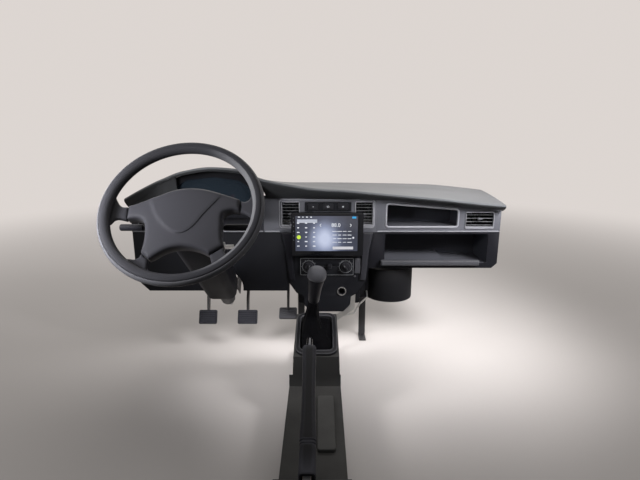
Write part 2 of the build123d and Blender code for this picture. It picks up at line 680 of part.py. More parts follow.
slope = (gear_front[1] - gear_rear[1]) / (gear_front[0] - gear_rear[0])
gear_middle = ((gear_front[0] + gear_rear[0]) / 2, (gear_front[1] + gear_rear[1]) / 2)
gear_plane = Plane(origin=(console_x, *gear_middle), x_dir=(1, 0, 0),
                   z_dir=Vector(0, -slope, 1).normalized())
gear_hole = (86, 146, 16)       # width, length and corner of the opening for the gaiter
with BuildPart() as console:
    add(console_form(0))
    add(console_form(skin), mode=Mode.SUBTRACT)
    with BuildSketch(gear_plane):
        RectangleRounded(*gear_hole)
    extrude(amount=20, both=True, mode=Mode.SUBTRACT)
    block((lever_x - 17, lever_x + 17), (pivot_y - 26, pivot_y + 65), (block_top - 8, block_top + 12),
          Mode.SUBTRACT)
save(console, "console")

# Raised pad on the deck beside the handbrake
deck_slope = (tray_front[1] - tray_rear[1]) / (tray_front[0] - tray_rear[0])
lid_middle = sum(lid_y) / 2
lid_height = tray_front[1] + deck_slope * (lid_middle - tray_front[0])
lid_plane = Plane(origin=(sum(lid_x) / 2, lid_middle, lid_height),
                  x_dir=(1, 0, 0), z_dir=Vector(0, -deck_slope, 1).normalized())
with BuildPart() as console_lid:
    with BuildSketch(lid_plane.offset(0.1)):
        RectangleRounded(lid_x[1] - lid_x[0], lid_y[1] - lid_y[0], 7)
    extrude(amount=lid_rise)
    fillet(console_lid.faces().sort_by(Axis.Z)[-1].edges(), 2.5)
save(console_lid, "console_lid")

with BuildPart() as gear_surround:
    with BuildSketch(gear_plane.offset(0.1)):
        RectangleRounded(116, 180, 26)
        RectangleRounded(gear_hole[0], gear_hole[1], gear_hole[2] - 2, mode=Mode.SUBTRACT)
    extrude(amount=8)
    fillet(gear_surround.faces().sort_by(Axis((0, 0, 0), gear_plane.z_dir))[-1].edges(), 3)
save(gear_surround, "gear_surround")

# Brace from the stack to the console's nose: a flat strap, and a bent rod up to the blower
strap_line = [(125, -190), (122.5, -254), (84, -282), (50, -306), (50, nose_z + 0.4)]
strap_wide = 18
rod_r = 3
brace_y = -212
with BuildPart() as stack_brace:
    with BuildSketch(Plane.XZ.offset(-brace_y)):
        with BuildLine():
            Polyline(*strap_line)
        trace(line_width=strap_wide)
    extrude(amount=sheet)
    plate([(111, -214), (141, -195), (141, -180), (111, -180)], brace_y - sheet - 1, brace_y + 1,
          Mode.SUBTRACT)
    with BuildLine() as rod_line:
        Polyline((96, brace_y, -286), (130, brace_y, -276), (148, brace_y, -243), (174, brace_y, -217),
                 (175, -170.8, -211))
    with BuildSketch(Plane(origin=rod_line.line @ 0, z_dir=rod_line.line % 0)):
        Circle(rod_r)
    sweep(path=rod_line.line, transition=Transition.ROUND)
save(stack_brace, "stack_brace")

# Gear lever: tall tapered handle with a domed cap, and the gaiter below it
lever_foot = Vector(console_x - 21, -462, -240)
lever_top = Vector(console_x + 4, -524, -18)
lever_way = (lever_top - lever_foot).normalized()
lever_length = (lever_top - lever_foot).length
sleeve_start = 122          # the gaiter ends and the handle starts this far above the foot
knob_plane = Plane(origin=lever_foot, x_dir=(1, 0, 0), z_dir=lever_way)
with BuildPart() as gear_gaiter:
    # height over the opening, shift to the left and to the rear, width, length and corner
    for height, aside, shift, wide, long, corner in (
            (-2, 0, 0, gear_hole[0] - 0.6, gear_hole[1] - 0.6, 15.8), (14, 4, 2, 68, 112, 20),
            (34, 12, 6, 46, 68, 18)):
        with BuildSketch(gear_plane.offset(height)):
            with Locations((-aside, -shift)):
                RectangleRounded(wide, long, corner)
    with BuildSketch(knob_plane.offset(sleeve_start - 0.3)):
        RectangleRounded(22, 24, 10.9)
    loft(ruled=True)
save(gear_gaiter, "gear_gaiter")

# distance from the handle's lower end, lower radius, upper radius, length
knob_r = 25.7
knob_pieces = [(0, 13.5, 15, 4), (4, 15, 20.5, 60), (64, 20.5, 22.5, 12), (76, 22.5, knob_r, 4)]
knob_cap = sleeve_start + 80
with BuildPart() as gear_knob:
    for distance, low_r, high_r, length in knob_pieces:
        with Locations(knob_plane.offset(sleeve_start + distance + length / 2)):
            Cone(low_r, high_r, length)
    with Locations(knob_plane.offset((knob_cap + lever_length) / 2)):
        Cylinder(knob_r, lever_length - knob_cap)
    fillet(gear_knob.edges().sort_by(Axis(lever_foot, lever_way))[-1], 14)
save(gear_knob, "gear_knob")

# Handbrake: bracket on the console block, lever, grip sleeve and button
grip_angle = 13.6
grip_start, grip_end = 40, 360
grip_wide, grip_high = 34, 28
pivot_r = 5
lever_out = Vector(0, cos(radians(grip_angle)), sin(radians(grip_angle)))
lever_side = Plane(origin=(lever_x, pivot_y, pivot_z), x_dir=lever_out, z_dir=(1, 0, 0))
with BuildPart() as handbrake_bracket:
    for x0 in (lever_x - 14, lever_x + 11):
        side([(pivot_y - 28, block_top), (pivot_y - 28, pivot_z - 4), (pivot_y - 12, pivot_z + 14),
              (pivot_y + 14, pivot_z + 14),
              (pivot_y + 50, block_top)], x0, x0 + 3)
    with Locations((lever_x, pivot_y, pivot_z)):
        Cylinder(pivot_r, 34, rotation=(0, 90, 0))
save(handbrake_bracket, "handbrake_bracket")

with BuildPart() as handbrake_lever:
    side([(-10, -11), (8, -13), (grip_start - 4, -6), (grip_start + 16, -6), (grip_start + 16, 6),
          (grip_start - 4, 6), (0, 12), (-10, 8)], -7, 7, plane=lever_side)
    with Locations((lever_x, pivot_y, pivot_z)):
        Cylinder(pivot_r + fit, 40, rotation=(0, 90, 0), mode=Mode.SUBTRACT)
save(handbrake_lever, "handbrake_lever")


def along_lever(distance):
    return Plane(origin=lever_side.origin + lever_out * distance, x_dir=(1, 0, 0), z_dir=lever_out)


with BuildPart() as handbrake_grip:
    with BuildSketch(along_lever(grip_start)):
        RectangleRounded(grip_wide, grip_high, 7)
    extrude(amount=grip_end - grip_start)
    fillet(handbrake_grip.faces().sort_by(Axis(lever_side.origin, lever_out))[-1].edges(), 4)
    with BuildSketch(along_lever(grip_start)):
        Rectangle(14.4, 12.4)
    extrude(amount=16.2, mode=Mode.SUBTRACT)
save(handbrake_grip, "handbrake_grip")

with BuildPart() as handbrake_button:
    with BuildSketch(along_lever(grip_end)):
        Circle(7)
    extrude(amount=34)
    fillet(handbrake_button.edges().sort_by(Axis.Y)[-1], 4)
save(handbrake_button, "handbrake_button")
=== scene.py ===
import json
import math
import bmesh
import bpy
from mathutils import Matrix, Vector
from mathutils.geometry import delaunay_2d_cdt, intersect_point_line

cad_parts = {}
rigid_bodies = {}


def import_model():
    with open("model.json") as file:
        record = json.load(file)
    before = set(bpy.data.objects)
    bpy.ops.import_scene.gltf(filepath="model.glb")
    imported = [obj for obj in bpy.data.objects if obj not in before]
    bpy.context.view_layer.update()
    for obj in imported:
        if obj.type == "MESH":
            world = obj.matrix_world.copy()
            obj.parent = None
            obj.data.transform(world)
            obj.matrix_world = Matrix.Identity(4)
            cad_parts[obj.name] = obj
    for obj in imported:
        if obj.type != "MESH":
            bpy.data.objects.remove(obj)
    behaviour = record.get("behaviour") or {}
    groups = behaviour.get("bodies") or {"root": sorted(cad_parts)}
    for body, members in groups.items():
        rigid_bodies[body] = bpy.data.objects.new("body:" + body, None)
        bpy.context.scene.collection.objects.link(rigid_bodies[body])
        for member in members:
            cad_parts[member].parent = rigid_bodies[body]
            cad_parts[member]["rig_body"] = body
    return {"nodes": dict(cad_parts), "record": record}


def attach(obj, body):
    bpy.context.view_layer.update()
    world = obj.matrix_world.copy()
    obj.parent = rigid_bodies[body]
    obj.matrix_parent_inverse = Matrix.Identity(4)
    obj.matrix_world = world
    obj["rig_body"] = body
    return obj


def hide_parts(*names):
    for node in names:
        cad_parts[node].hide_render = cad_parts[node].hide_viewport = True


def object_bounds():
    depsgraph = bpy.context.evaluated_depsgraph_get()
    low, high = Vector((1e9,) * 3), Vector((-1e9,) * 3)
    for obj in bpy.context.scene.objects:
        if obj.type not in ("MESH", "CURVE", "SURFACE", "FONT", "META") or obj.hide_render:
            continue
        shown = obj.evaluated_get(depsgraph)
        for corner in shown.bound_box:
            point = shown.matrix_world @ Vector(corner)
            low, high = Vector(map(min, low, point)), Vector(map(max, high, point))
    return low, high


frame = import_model()
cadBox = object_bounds()
nodes = frame["nodes"]
slotOf = {part["node"]: part["material_slot"] for part in frame["record"]["subparts"]}
mm = 0.001
print("frame loaded:", len(nodes), "nodes")

# camera: its place in metres, how far it looks below level in degrees, its lens
cameraView = {"place": (0.013, -1.66, 0.33), "down": 13.5, "lens": 25.3125, "sensor": 36}
studio = {
    "world": 0.28, "backdrop": (0.72, 0.67, 0.64), "floorSize": 60,
    # floor as the camera sees it, as it lights the object from below, and where it fades into the backdrop
    "floor": (0.52, 0.485, 0.465), "floorShade": (0.16, 0.155, 0.15), "fadeFrom": 1.1, "fadeTo": 4.0,
    # name, place, aims at, width, height, watts, colour, angle of its cone
    "lamps": [("windscreenLight", (-0.15, 1.7, 1.9), (-0.1, -0.3, 0), 3.4, 1.6, 50, (1, 0.99, 0.97), 180),
              ("roofLight", (0.2, -1.7, 2.4), (0, -0.4, 0), 2.2, 2.0, 13, (1, 1, 1), 180),
              ("doorLight", (1.05, -0.95, 0.72), (0.50, -0.23, 0.06), 0.5, 0.4, 7, (0.98, 0.98, 1), 64),
              ("driverLight", (-0.74, -0.92, 0.30), (-0.42, -0.65, 0.14), 0.25, 0.3, 2.9, (0.98, 0.98, 1), 64)],
}


def setStudio():
    scene = bpy.context.scene
    scene.view_settings.view_transform = "Standard"
    camera = bpy.data.objects.new("camera", bpy.data.cameras.new("camera"))
    camera.data.lens, camera.data.sensor_width = cameraView["lens"], cameraView["sensor"]
    camera.data.clip_start, camera.data.clip_end = 0.02, 200
    camera.location = cameraView["place"]
    camera.rotation_euler = (math.radians(90 - cameraView["down"]), 0, 0)
    scene.collection.objects.link(camera)
    scene.camera = camera
    for name, place, aim, wide, high, watts, colour, cone in studio["lamps"]:
        light = bpy.data.lights.new(name, "AREA")
        light.shape, light.size, light.size_y = "RECTANGLE", wide, high
        light.energy, light.color, light.spread = watts, colour, math.radians(cone)
        lamp = bpy.data.objects.new(name, light)
        lamp.visible_camera = False
        lamp.visible_glossy = cone == 180  # the two small fill lamps leave no glare
        lamp.location = place
        lamp.rotation_euler = (Vector(aim) - Vector(place)).to_track_quat("-Z", "Y").to_euler()
        scene.collection.objects.link(lamp)
    world = bpy.data.worlds.new("studioAir")
    world.use_nodes = True
    scene.world = world
    tree = world.node_tree
    tree.nodes.clear()
    path = tree.nodes.new("ShaderNodeLightPath")
    seen = path.outputs["Is Camera Ray"]
    for ray in ("Is Glossy Ray", "Is Transmission Ray"):
        both = tree.nodes.new("ShaderNodeMath")
        both.operation = "MAXIMUM"
        tree.links.new(seen, both.inputs[0])
        tree.links.new(path.outputs[ray], both.inputs[1])
        seen = both.outputs[0]
    light = tree.nodes.new("ShaderNodeBackground")
    light.inputs["Strength"].default_value = studio["world"]
    view = tree.nodes.new("ShaderNodeBackground")
    view.inputs["Color"].default_value = (*studio["backdrop"], 1)
    either = tree.nodes.new("ShaderNodeMixShader")
    tree.links.new(seen, either.inputs[0])
    tree.links.new(light.outputs[0], either.inputs[1])
    tree.links.new(view.outputs[0], either.inputs[2])
    tree.links.new(either.outputs[0], tree.nodes.new("ShaderNodeOutputWorld").inputs[0])


class Wire:
    # a socket that works in Python expressions: each operator adds its Math node
    def __init__(self, finish, socket):
        self.finish, self.socket = finish, socket

    def calc(self, operation, *values):
        return self.finish.add("ShaderNodeMath", {"operation": operation}, dict(enumerate(values)))

    def __add__(self, other):
        return self.calc("ADD", self, other)

    def __radd__(self, other):
        return self.calc("ADD", other, self)

    def __sub__(self, other):
        return self.calc("SUBTRACT", self, other)

    def __rsub__(self, other):
        return self.calc("SUBTRACT", other, self)

    def __mul__(self, other):
        return self.calc("MULTIPLY", self, other)

    def __rmul__(self, other):
        return self.calc("MULTIPLY", other, self)

    def __truediv__(self, other):
        return self.calc("DIVIDE", self, other)

    def __rtruediv__(self, other):
        return self.calc("DIVIDE", other, self)

    def __gt__(self, other):
        return self.calc("GREATER_THAN", self, other)

    def low(self, other):
        return self.calc("MINIMUM", self, other)

    def high(self, other):
        return self.calc("MAXIMUM", self, other)

    def out(self, name):
        return Wire(self.finish, self.socket.node.outputs[name])


class Finish:
    # one material while it is being built
    def __init__(self, name):
        self.material = bpy.data.materials.new(name)
        self.material.use_nodes = True
        self.tree = self.material.node_tree
        self.tree.nodes.clear()
        self.place = self.add("ShaderNodeTexCoord", out="Object")

    def add(self, kind, settings=None, values=None, out=0):
        node = self.tree.nodes.new(kind)
        for key, value in (settings or {}).items():
            if key == "stops":
                ramp = node.color_ramp
                for _ in range(len(value) - 2):
                    ramp.elements.new(0.5)
                for element, (position, shade) in zip(ramp.elements, value):
                    element.position = position
                    element.color = (shade,) * 3 + (1,) if isinstance(shade, (int, float)) else (*shade, 1)
            else:
                setattr(node, key, value)
        for key, value in (values or {}).items():
            socket = node.inputs[key]
            if isinstance(value, Wire):
                self.tree.links.new(value.socket, socket)
            else:
                socket.default_value = value
        return Wire(self, node.outputs[out])

    def mix(self, factor, first, second):
        first, second = ((*c, 1) if isinstance(c, tuple) and len(c) == 3 else c for c in (first, second))
        return self.add("ShaderNodeMix", {"data_type": "RGBA"}, {0: factor, 6: first, 7: second}, out=2)

    def noise(self, scale, detail=3, rough=0.5, where=None):
        return self.add("ShaderNodeTexNoise", {}, {"Vector": where or self.place, "Scale": scale,
                                                   "Detail": detail, "Roughness": rough}, out="Fac")

    def cells(self, scale, feature="F1"):
        return self.add("ShaderNodeTexVoronoi", {"feature": feature}, {"Vector": self.place, "Scale": scale},
                        out="Distance")

    def stretch(self, scale, turn=(0, 0, 0)):
        return self.add("ShaderNodeMapping", {}, {"Vector": self.place, "Scale": scale, "Rotation": turn})

    def bump(self, height, strength, distance):
        return self.add("ShaderNodeBump", {}, {"Height": height, "Strength": strength, "Distance": distance})

    def worn(self, radius):
        # 1 on edges, 0 on flat faces
        soft = self.add("ShaderNodeBevel", {"samples": 4}, {"Radius": radius})
        true = self.add("ShaderNodeNewGeometry", out="True Normal")
        same = self.add("ShaderNodeVectorMath", {"operation": "DOT_PRODUCT"}, {0: soft, 1: true}, out="Value")
        return ((1 - same) * 6).low(1).high(0)

    def rise(self):
        # 1 where the surface faces up, -1 where it faces down
        normal = self.add("ShaderNodeNewGeometry", out="Normal")
        return self.add("ShaderNodeSeparateXYZ", {}, {0: normal}, out="Z")

    def shade(self, **values):
        names = {"colour": "Base Color", "rough": "Roughness", "metal": "Metallic", "normal": "Normal",
                 "coat": "Coat Weight", "coatRough": "Coat Roughness", "glow": "Emission Color",
                 "glowPower": "Emission Strength", "gloss": "Specular IOR Level", "alpha": "Alpha"}
        values = {names[k]: (*v, 1) if isinstance(v, tuple) and len(v) == 3 else v for k, v in values.items()}
        surface = self.add("ShaderNodeBsdfPrincipled", {}, values)
        output = self.tree.nodes.new("ShaderNodeOutputMaterial")
        self.tree.links.new(surface.socket, output.inputs[0])
        return self.material


def tint(colour, factor):
    return tuple(min(1, c * factor) for c in colour)


def mouldedPlastic(name, colour, rough, grain=0.9, depth=0.05, dust=0.12, edgeWearAndHighlight=0.35, gloss=0.17, paintedShadeBelow=1.0):
    # grain: size of the etched grain in mm; depth: its height in mm; the last one is painted shade: how dark the colour
    # is made where the surface faces down
    f = Finish(name)
    cells = f.cells(1000 / (grain * 2.4))
    fine = f.noise(1000 / grain, 2)
    patch = f.noise(9, 4, 0.6)
    smear = f.noise(3.1, 3, 0.55, f.stretch((1, 2.5, 1), (0.3, 0.2, 0.5)))
    edge = f.worn(0.0015)
    lying = f.rise().high(0) * patch
    shown = f.mix((patch * 0.9 - 0.1).low(1).high(0), tint(colour, 0.82), tint(colour, 1.2))
    shown = f.mix(lying * dust, shown, (0.42, 0.40, 0.37, 1))
    # painted shade: the colour darkens where the surface faces down
    if paintedShadeBelow < 1:
        down = (0.25 - f.rise()) * 3
        shown = f.mix(down.low(1).high(0), shown, tint(colour, paintedShadeBelow))
    shown = f.mix(edge * edgeWearAndHighlight * fine, shown, tuple(min(1, c * 2.2 + 0.02) for c in colour))
    rough = rough + (patch - 0.5) * 0.16 + (smear - 0.5) * 0.22 + lying * dust * 0.3 - edge * 0.08
    height = cells * 0.7 + fine * 0.5
    return f.shade(colour=shown, rough=rough, normal=f.bump(height, 0.5, depth * mm), gloss=gloss)


def smoothPlastic(name, colour, rough, coat=0.0, scratch=0.3, gloss=0.17):
    f = Finish(name)
    hair = f.noise(70, 6, 0.75, f.stretch((1, 1, 14), (0.4, 0.7, 0.2)))
    patch = f.noise(14, 4, 0.6)
    finger = f.noise(38, 2, 0.4)
    shown = f.mix(patch, tint(colour, 0.85), tint(colour, 1.16))
    shown = f.mix(f.worn(0.001) * 0.35, shown, tuple(min(1, c * 2 + 0.015) for c in colour))
    rough = rough + (hair - 0.5) * scratch * 0.4 + (finger - 0.5) * 0.14
    return f.shade(colour=shown, rough=rough, normal=f.bump(hair + patch * 0.5, 0.12, 0.0002), coat=coat,
                   coatRough=0.12, gloss=gloss)


def paintedSteel(name, colour, rough):
    f = Finish(name)
    peel = f.noise(420, 3, 0.6)
    patch = f.noise(11, 5, 0.65)
    chip = ((f.noise(90, 5, 0.7) * 1.3 + f.worn(0.0012) * 0.75) > 1.12)
    rust = f.noise(160, 3)
    shown = f.mix(patch, tint(colour, 0.75), tint(colour, 1.35))
    shown = f.mix(chip, shown, f.mix(rust, (0.16, 0.10, 0.07), (0.30, 0.27, 0.25)))
    return f.shade(colour=shown, rough=rough + (patch - 0.5) * 0.25 + chip * 0.15, metal=chip * 0.6,
                   normal=f.bump(peel - chip * 0.8, 0.25, 0.0001))


def bareSteel(name, colour, rough, along=(1, 1, 1), metal=1.0):
    f = Finish(name)
    brush = f.noise(300, 4, 0.7, f.stretch(along))
    cloud = f.noise(24, 5, 0.6)
    spot = f.cells(130)
    shown = f.mix(cloud, tint(colour, 0.7), tint(colour, 1.2))
    shown = f.mix((cloud * 1.8 - 0.95).high(0) * 0.25, shown, (0.20, 0.15, 0.10))
    return f.shade(colour=shown, rough=rough + (brush - 0.5) * 0.22 + (cloud - 0.5) * 0.2, metal=metal,
                   normal=f.bump(brush + spot * 0.4, 0.18, 0.00012))


def chrome(name, colour):
    f = Finish(name)
    hair = f.noise(120, 5, 0.7, f.stretch((1, 1, 9)))
    haze = f.noise(30, 4, 0.6)
    return f.shade(colour=f.mix(haze, tint(colour, 0.9), colour), rough=0.09 + haze * 0.12, metal=1.0,
                   normal=f.bump(hair, 0.05, 0.0001))


def foamSkin(name, colour, rough, pores, depth, polish, gloss=0.17, edgeWearAndHighlight=0.3, edge=0.002, rightHighlight=None):
    # leather-like skin of the wheel's foam, polished where hands hold it; the last argument is a painted highlight: the
    # colour it turns towards the right
    f = Finish(name)
    cells = f.cells(1000 / pores, "DISTANCE_TO_EDGE")
    crease = (cells * 6).low(1)
    fine = f.noise(2600, 2)
    touch = f.noise(7, 3, 0.5)
    shown = f.mix(crease * 0.6 + touch * 0.4, tint(colour, 0.8), tint(colour, 1.15))
    # pale edges: worn, and where the amount is large a painted highlight
    shown = f.mix(f.worn(edge) * edgeWearAndHighlight, shown, tint(colour, 1.6 + edgeWearAndHighlight))
    # painted highlight: the colour turns paler towards the right
    if rightHighlight:
        right = (f.add("ShaderNodeSeparateXYZ", {}, {0: f.place}, out="X") + 0.26) / 0.10
        shown = f.mix(right.high(0).low(1), shown, rightHighlight)
    return f.shade(colour=shown, rough=rough - touch * polish + (1 - crease) * 0.1,
                   normal=f.bump(crease + fine * 0.3, 0.3, depth * mm), gloss=gloss)


def softLeather(name, colour):
    f = Finish(name)
    cells = f.cells(620, "DISTANCE_TO_EDGE")
    crease = (cells * 5).low(1)
    fold = f.noise(60, 4, 0.6)
    edge = f.worn(0.0025)
    shown = f.mix(fold, tint(colour, 0.7), tint(colour, 1.4))
    shown = f.mix(edge * 0.3, shown, tuple(c * 2.4 + 0.01 for c in colour))
    return f.shade(colour=shown, rough=0.60 + fold * 0.2 - edge * 0.1,
                   normal=f.bump(crease * 0.5 + fold, 0.45, 0.0003), gloss=0.05)


def clearLens(name, colour):
    f = Finish(name)
    smear = f.noise(18, 4, 0.6, f.stretch((1, 1, 3)))
    return f.shade(colour=colour, rough=0.34 + smear * 0.12, alpha=0.62, gloss=0.1,
                   normal=f.bump(f.noise(400, 2), 0.02, 0.0001))


finishes = {
    # the pad's skirt, facing down, is darkened: painted shade
    "pad_plastic": mouldedPlastic("padPlastic", (0.072, 0.075, 0.080), 0.42, 1.1, 0.08, 0.10, 0.25, 0.17, 0.35),
    "fascia_plastic": mouldedPlastic("fasciaPlastic", (0.075, 0.076, 0.086), 0.36, 0.8, 0.04, 0.08, 0.5),
    # darker than the plastic's own colour, partly painted shade of the footwell below the dash
    "dark_plastic": mouldedPlastic("darkPlastic", (0.0085, 0.0088, 0.0105), 0.50, 0.9, 0.05, 0.05, 0.3, 0.09),
    "vent_plastic": mouldedPlastic("ventPlastic", (0.085, 0.087, 0.094), 0.40, 0.6, 0.02, 0.10, 0.5),
    "button_plastic": smoothPlastic("buttonPlastic", (0.012, 0.012, 0.014), 0.42, 0.0, 0.3, 0.12),
    "screen_gloss": smoothPlastic("screenGloss", (0.0045, 0.0048, 0.006), 0.16, 0.2, 0.1, 0.14),
    "clear_lens": clearLens("clearLens", (0.013, 0.019, 0.026)),
    "dial_face": smoothPlastic("dialFace", (0.010, 0.010, 0.012), 0.60, 0, 0.3, 0.1),
    "duct_plastic": mouldedPlastic("ductPlastic", (0.008, 0.008, 0.009), 0.62, 1.6, 0.03, 0.16, 0.2, 0.07),
    "lock_metal": bareSteel("lockMetal", (0.50, 0.50, 0.50), 0.34),
    # the cover's pale edges are partly worn, partly a painted highlight on its top edge
    "wheel_foam": foamSkin("wheelFoam", (0.018, 0.018, 0.021), 0.50, 1.1, 0.05, 0.12, 0.13, 0.8),
    # the gear surround, gaiter and handbrake grip are darker than their own colour, partly painted shade from the seats
    "surround_plastic": smoothPlastic("surroundPlastic", (0.010, 0.010, 0.011), 0.36, 0.0),
    "gaiter_leather": softLeather("gaiterLeather", (0.0022, 0.0022, 0.0027)),
    "knob_plastic": smoothPlastic("knobPlastic", (0.009, 0.009, 0.011), 0.40, 0.0, 0.3, 0.13),
    # the grip's edges are paled strongly, a painted highlight
    "grip_rubber": foamSkin("gripRubber", (0.0055, 0.0055, 0.0065), 0.55, 1.4, 0.04, 0.10, 0.07, 6.0, 0.005),
    "beam_paint": paintedSteel("beamPaint", (0.018, 0.018, 0.020), 0.45),
    "shaft_steel": bareSteel("shaftSteel", (0.42, 0.42, 0.43), 0.36, (1, 8, 8)),
    "plated_steel": bareSteel("platedSteel", (0.50, 0.495, 0.48), 0.40, (1, 1, 1), 0.9),
    "pedal_steel": paintedSteel("pedalPaint", (0.022, 0.022, 0.024), 0.40),
    "button_chrome": chrome("buttonChrome", (0.026, 0.026, 0.029)),
}
# second finishes that share a slot: pale rims, beads and the knob's top as painted highlights, the trims, and the dark
# joints and the painted shade deep in openings
paintedHighlightPlastic = mouldedPlastic("paintedHighlightPlastic", (0.19, 0.19, 0.205), 0.36, 0.8, 0.02, 0.05, 0.4)
# the console is darker than its own plastic, partly painted shade from the seats
consolePlastic = mouldedPlastic("consolePlastic", (0.016, 0.016, 0.016), 0.50, 1.0, 0.08, 0.10, 0.4, 0.1, 0.5)
lidPlastic = mouldedPlastic("lidPlastic", (0.031, 0.031, 0.030), 0.50, 1.0, 0.06, 0.10, 0.4, 0.1)
rimFoam = foamSkin("rimFoam", (0.021, 0.021, 0.024), 0.62, 1.1, 0.05, 0.12, 0.08)
# painted highlights for the rim: a paler outer side, and an inner side that turns paler towards the right
rimOuterHighlight = foamSkin("rimOuterHighlight", (0.058, 0.058, 0.064), 0.55, 1.1, 0.05, 0.12, 0.13)
rimInnerHighlight = foamSkin("rimInnerHighlight", (0.021, 0.021, 0.024), 0.50, 1.1, 0.05, 0.12, 0.13, 0.3, 0.002, (0.095, 0.095, 0.100))
crestPlastic = mouldedPlastic("crestPlastic", (0.046, 0.046, 0.051), 0.42, 0.8, 0.02, 0.05, 0.4)
capHighlightPlastic = smoothPlastic("capHighlightPlastic", (0.062, 0.062, 0.069), 0.42, 0.0, 0.3, 0.13)
hollowPlastic = mouldedPlastic("hollowPlastic", (0.028, 0.029, 0.036), 0.50, 0.9, 0.05, 0.05, 0.3, 0.1)
trimAndShadePlastic = mouldedPlastic("trimAndShadePlastic", (0.022, 0.022, 0.026), 0.42, 0.8, 0.04, 0.08, 0.5)
# darker than the parts' own plastic, partly painted shade below and behind the wheel
shroudPlastic = mouldedPlastic("shroudPlastic", (0.009, 0.009, 0.0112), 0.55, 0.9, 0.05, 0.04, 0.3, 0.08)
jointAndShadePlastic = mouldedPlastic("jointAndShadePlastic", (0.005, 0.005, 0.006), 0.60, 1.0, 0.03, 0.02, 0.1, 0.05)
print("finishes made:", len(finishes))


def smoothed(mesh, angle):
    # smooth shading, with edges over the angle kept sharp
    mesh.shade_smooth()
    mesh.set_sharp_from_angle(angle=math.radians(angle))


def lay(name, mesh, body, slot, replaced=(), smooth=35, finish=None):
    # a finished mesh becomes a piece that rides on its body
    piece = bpy.data.objects.new(name, mesh)
    bpy.context.scene.collection.objects.link(piece)
    mesh.materials.clear()
    mesh.materials.append(finish or finishes[slot])
    if smooth:
        smoothed(mesh, smooth)
    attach(piece, body)
    if replaced:
        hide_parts(*([replaced] if isinstance(replaced, str) else replaced))
    return piece


def meshOf(name, vertices, faces):
    mesh = bpy.data.meshes.new(name)
    mesh.from_pydata([Vector(v) for v in vertices], [], faces)
    mesh.validate()
    return mesh


def outwards(mesh, merge=0.00001):
    bm = bmesh.new()
    bm.from_mesh(mesh)
    bmesh.ops.remove_doubles(bm, verts=bm.verts, dist=merge)
    bmesh.ops.recalc_face_normals(bm, faces=bm.faces)
    bm.to_mesh(mesh)
    bm.free()
    return mesh


def loops(name, rows, capStart=True, capEnd=True):
    # closed loops with equal counts, in mm, joined one to the next
    count = len(rows[0])
    vertices = [Vector(p) * mm for row in rows for p in row]
    faces = [(r * count + i, r * count + (i + 1) % count, (r + 1) * count + (i + 1) % count, (r + 1) * count + i)
             for r in range(len(rows) - 1) for i in range(count)]
    if capStart:
        faces.append(tuple(range(count)))
    if capEnd:
        faces.append(tuple((len(rows) - 1) * count + i for i in range(count)))
    return outwards(meshOf(name, vertices, faces))


def joined(name, meshes):
    bm = bmesh.new()
    for mesh in meshes:
        bm.from_mesh(mesh)
    result = bpy.data.meshes.new(name)
    bm.to_mesh(result)
    bm.free()
    return result


def evaluated(piece):
    # the plain mesh that an object and its modifiers give
    graph = bpy.context.evaluated_depsgraph_get()
    return bpy.data.meshes.new_from_object(piece.evaluated_get(graph))


def applied(piece):
    # the piece with its modifiers made real
    mesh = evaluated(piece)
    old = piece.data
    piece.modifiers.clear()
    piece.data = mesh
    bpy.data.meshes.remove(old)
    return piece


def softened(node, width, segments=2, finish=None):
    # a copy of a CAD node with merged faces and rounded edges stands for it
    source = nodes[node]
    bm = bmesh.new()
    bm.from_mesh(source.data)
    bmesh.ops.remove_doubles(bm, verts=bm.verts, dist=0.00001)
    bmesh.ops.dissolve_limit(bm, angle_limit=math.radians(0.6), verts=bm.verts, edges=bm.edges)
    mesh = bpy.data.meshes.new(node)
    bm.to_mesh(mesh)
    bm.free()
    piece = lay(node + "Soft", mesh, source["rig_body"], slotOf[node], node, smooth=0, finish=finish)
    bevel = piece.modifiers.new("rounded", "BEVEL")
    bevel.width, bevel.segments = width * mm, segments
    bevel.limit_method, bevel.angle_limit = "ANGLE", math.radians(32)
    bevel.use_clamp_overlap = True
    bevel.miter_outer = "MITER_ARC"
    applied(piece)
    smoothed(piece.data, 40)
    return piece


def smoothTable(table):
    # monotone curves through the rows of a table, whose first column is the position
    xs = [row[0] for row in table]
    slopes = []
    for c in range(1, len(table[0])):
        steps = [(b[c] - a[c]) / (b[0] - a[0]) for a, b in zip(table, table[1:])]
        slopes.append([steps[0]] + [0 if a * b <= 0 else 2 * a * b / (a + b) for a, b in zip(steps, steps[1:])]
                      + [steps[-1]])

    def at(x):
        i = max(0, min(len(xs) - 2, sum(v <= x for v in xs) - 1))
        h = xs[i + 1] - xs[i]
        t = min(1, max(0, (x - xs[i]) / h))
        a, b = 2 * t ** 3 - 3 * t ** 2 + 1, t ** 3 - 2 * t ** 2 + t
        c, d = 3 * t ** 2 - 2 * t ** 3, t ** 3 - t ** 2
        return [a * table[i][k] + b * h * slopes[k - 1][i] + c * table[i + 1][k] + d * h * slopes[k - 1][i + 1]
                for k in range(1, len(table[0]))]
    return at


def curveThrough(points, step):
    # an open smooth curve through the points, resampled at about one step
    points = [Vector(p) for p in points]
    ends = [points[0] * 2 - points[1], *points, points[-1] * 2 - points[-2]]
    fine = []
    for p0, p1, p2, p3 in zip(ends, ends[1:], ends[2:], ends[3:]):
        for i in range(16):
            t = i / 16
            fine.append(0.5 * ((2 * p1) + (p2 - p0) * t + (2 * p0 - 5 * p1 + 4 * p2 - p3) * t * t
                               + (3 * p1 - p0 - 3 * p2 + p3) * t ** 3))
    fine.append(points[-1])
    return evenly(fine, step)


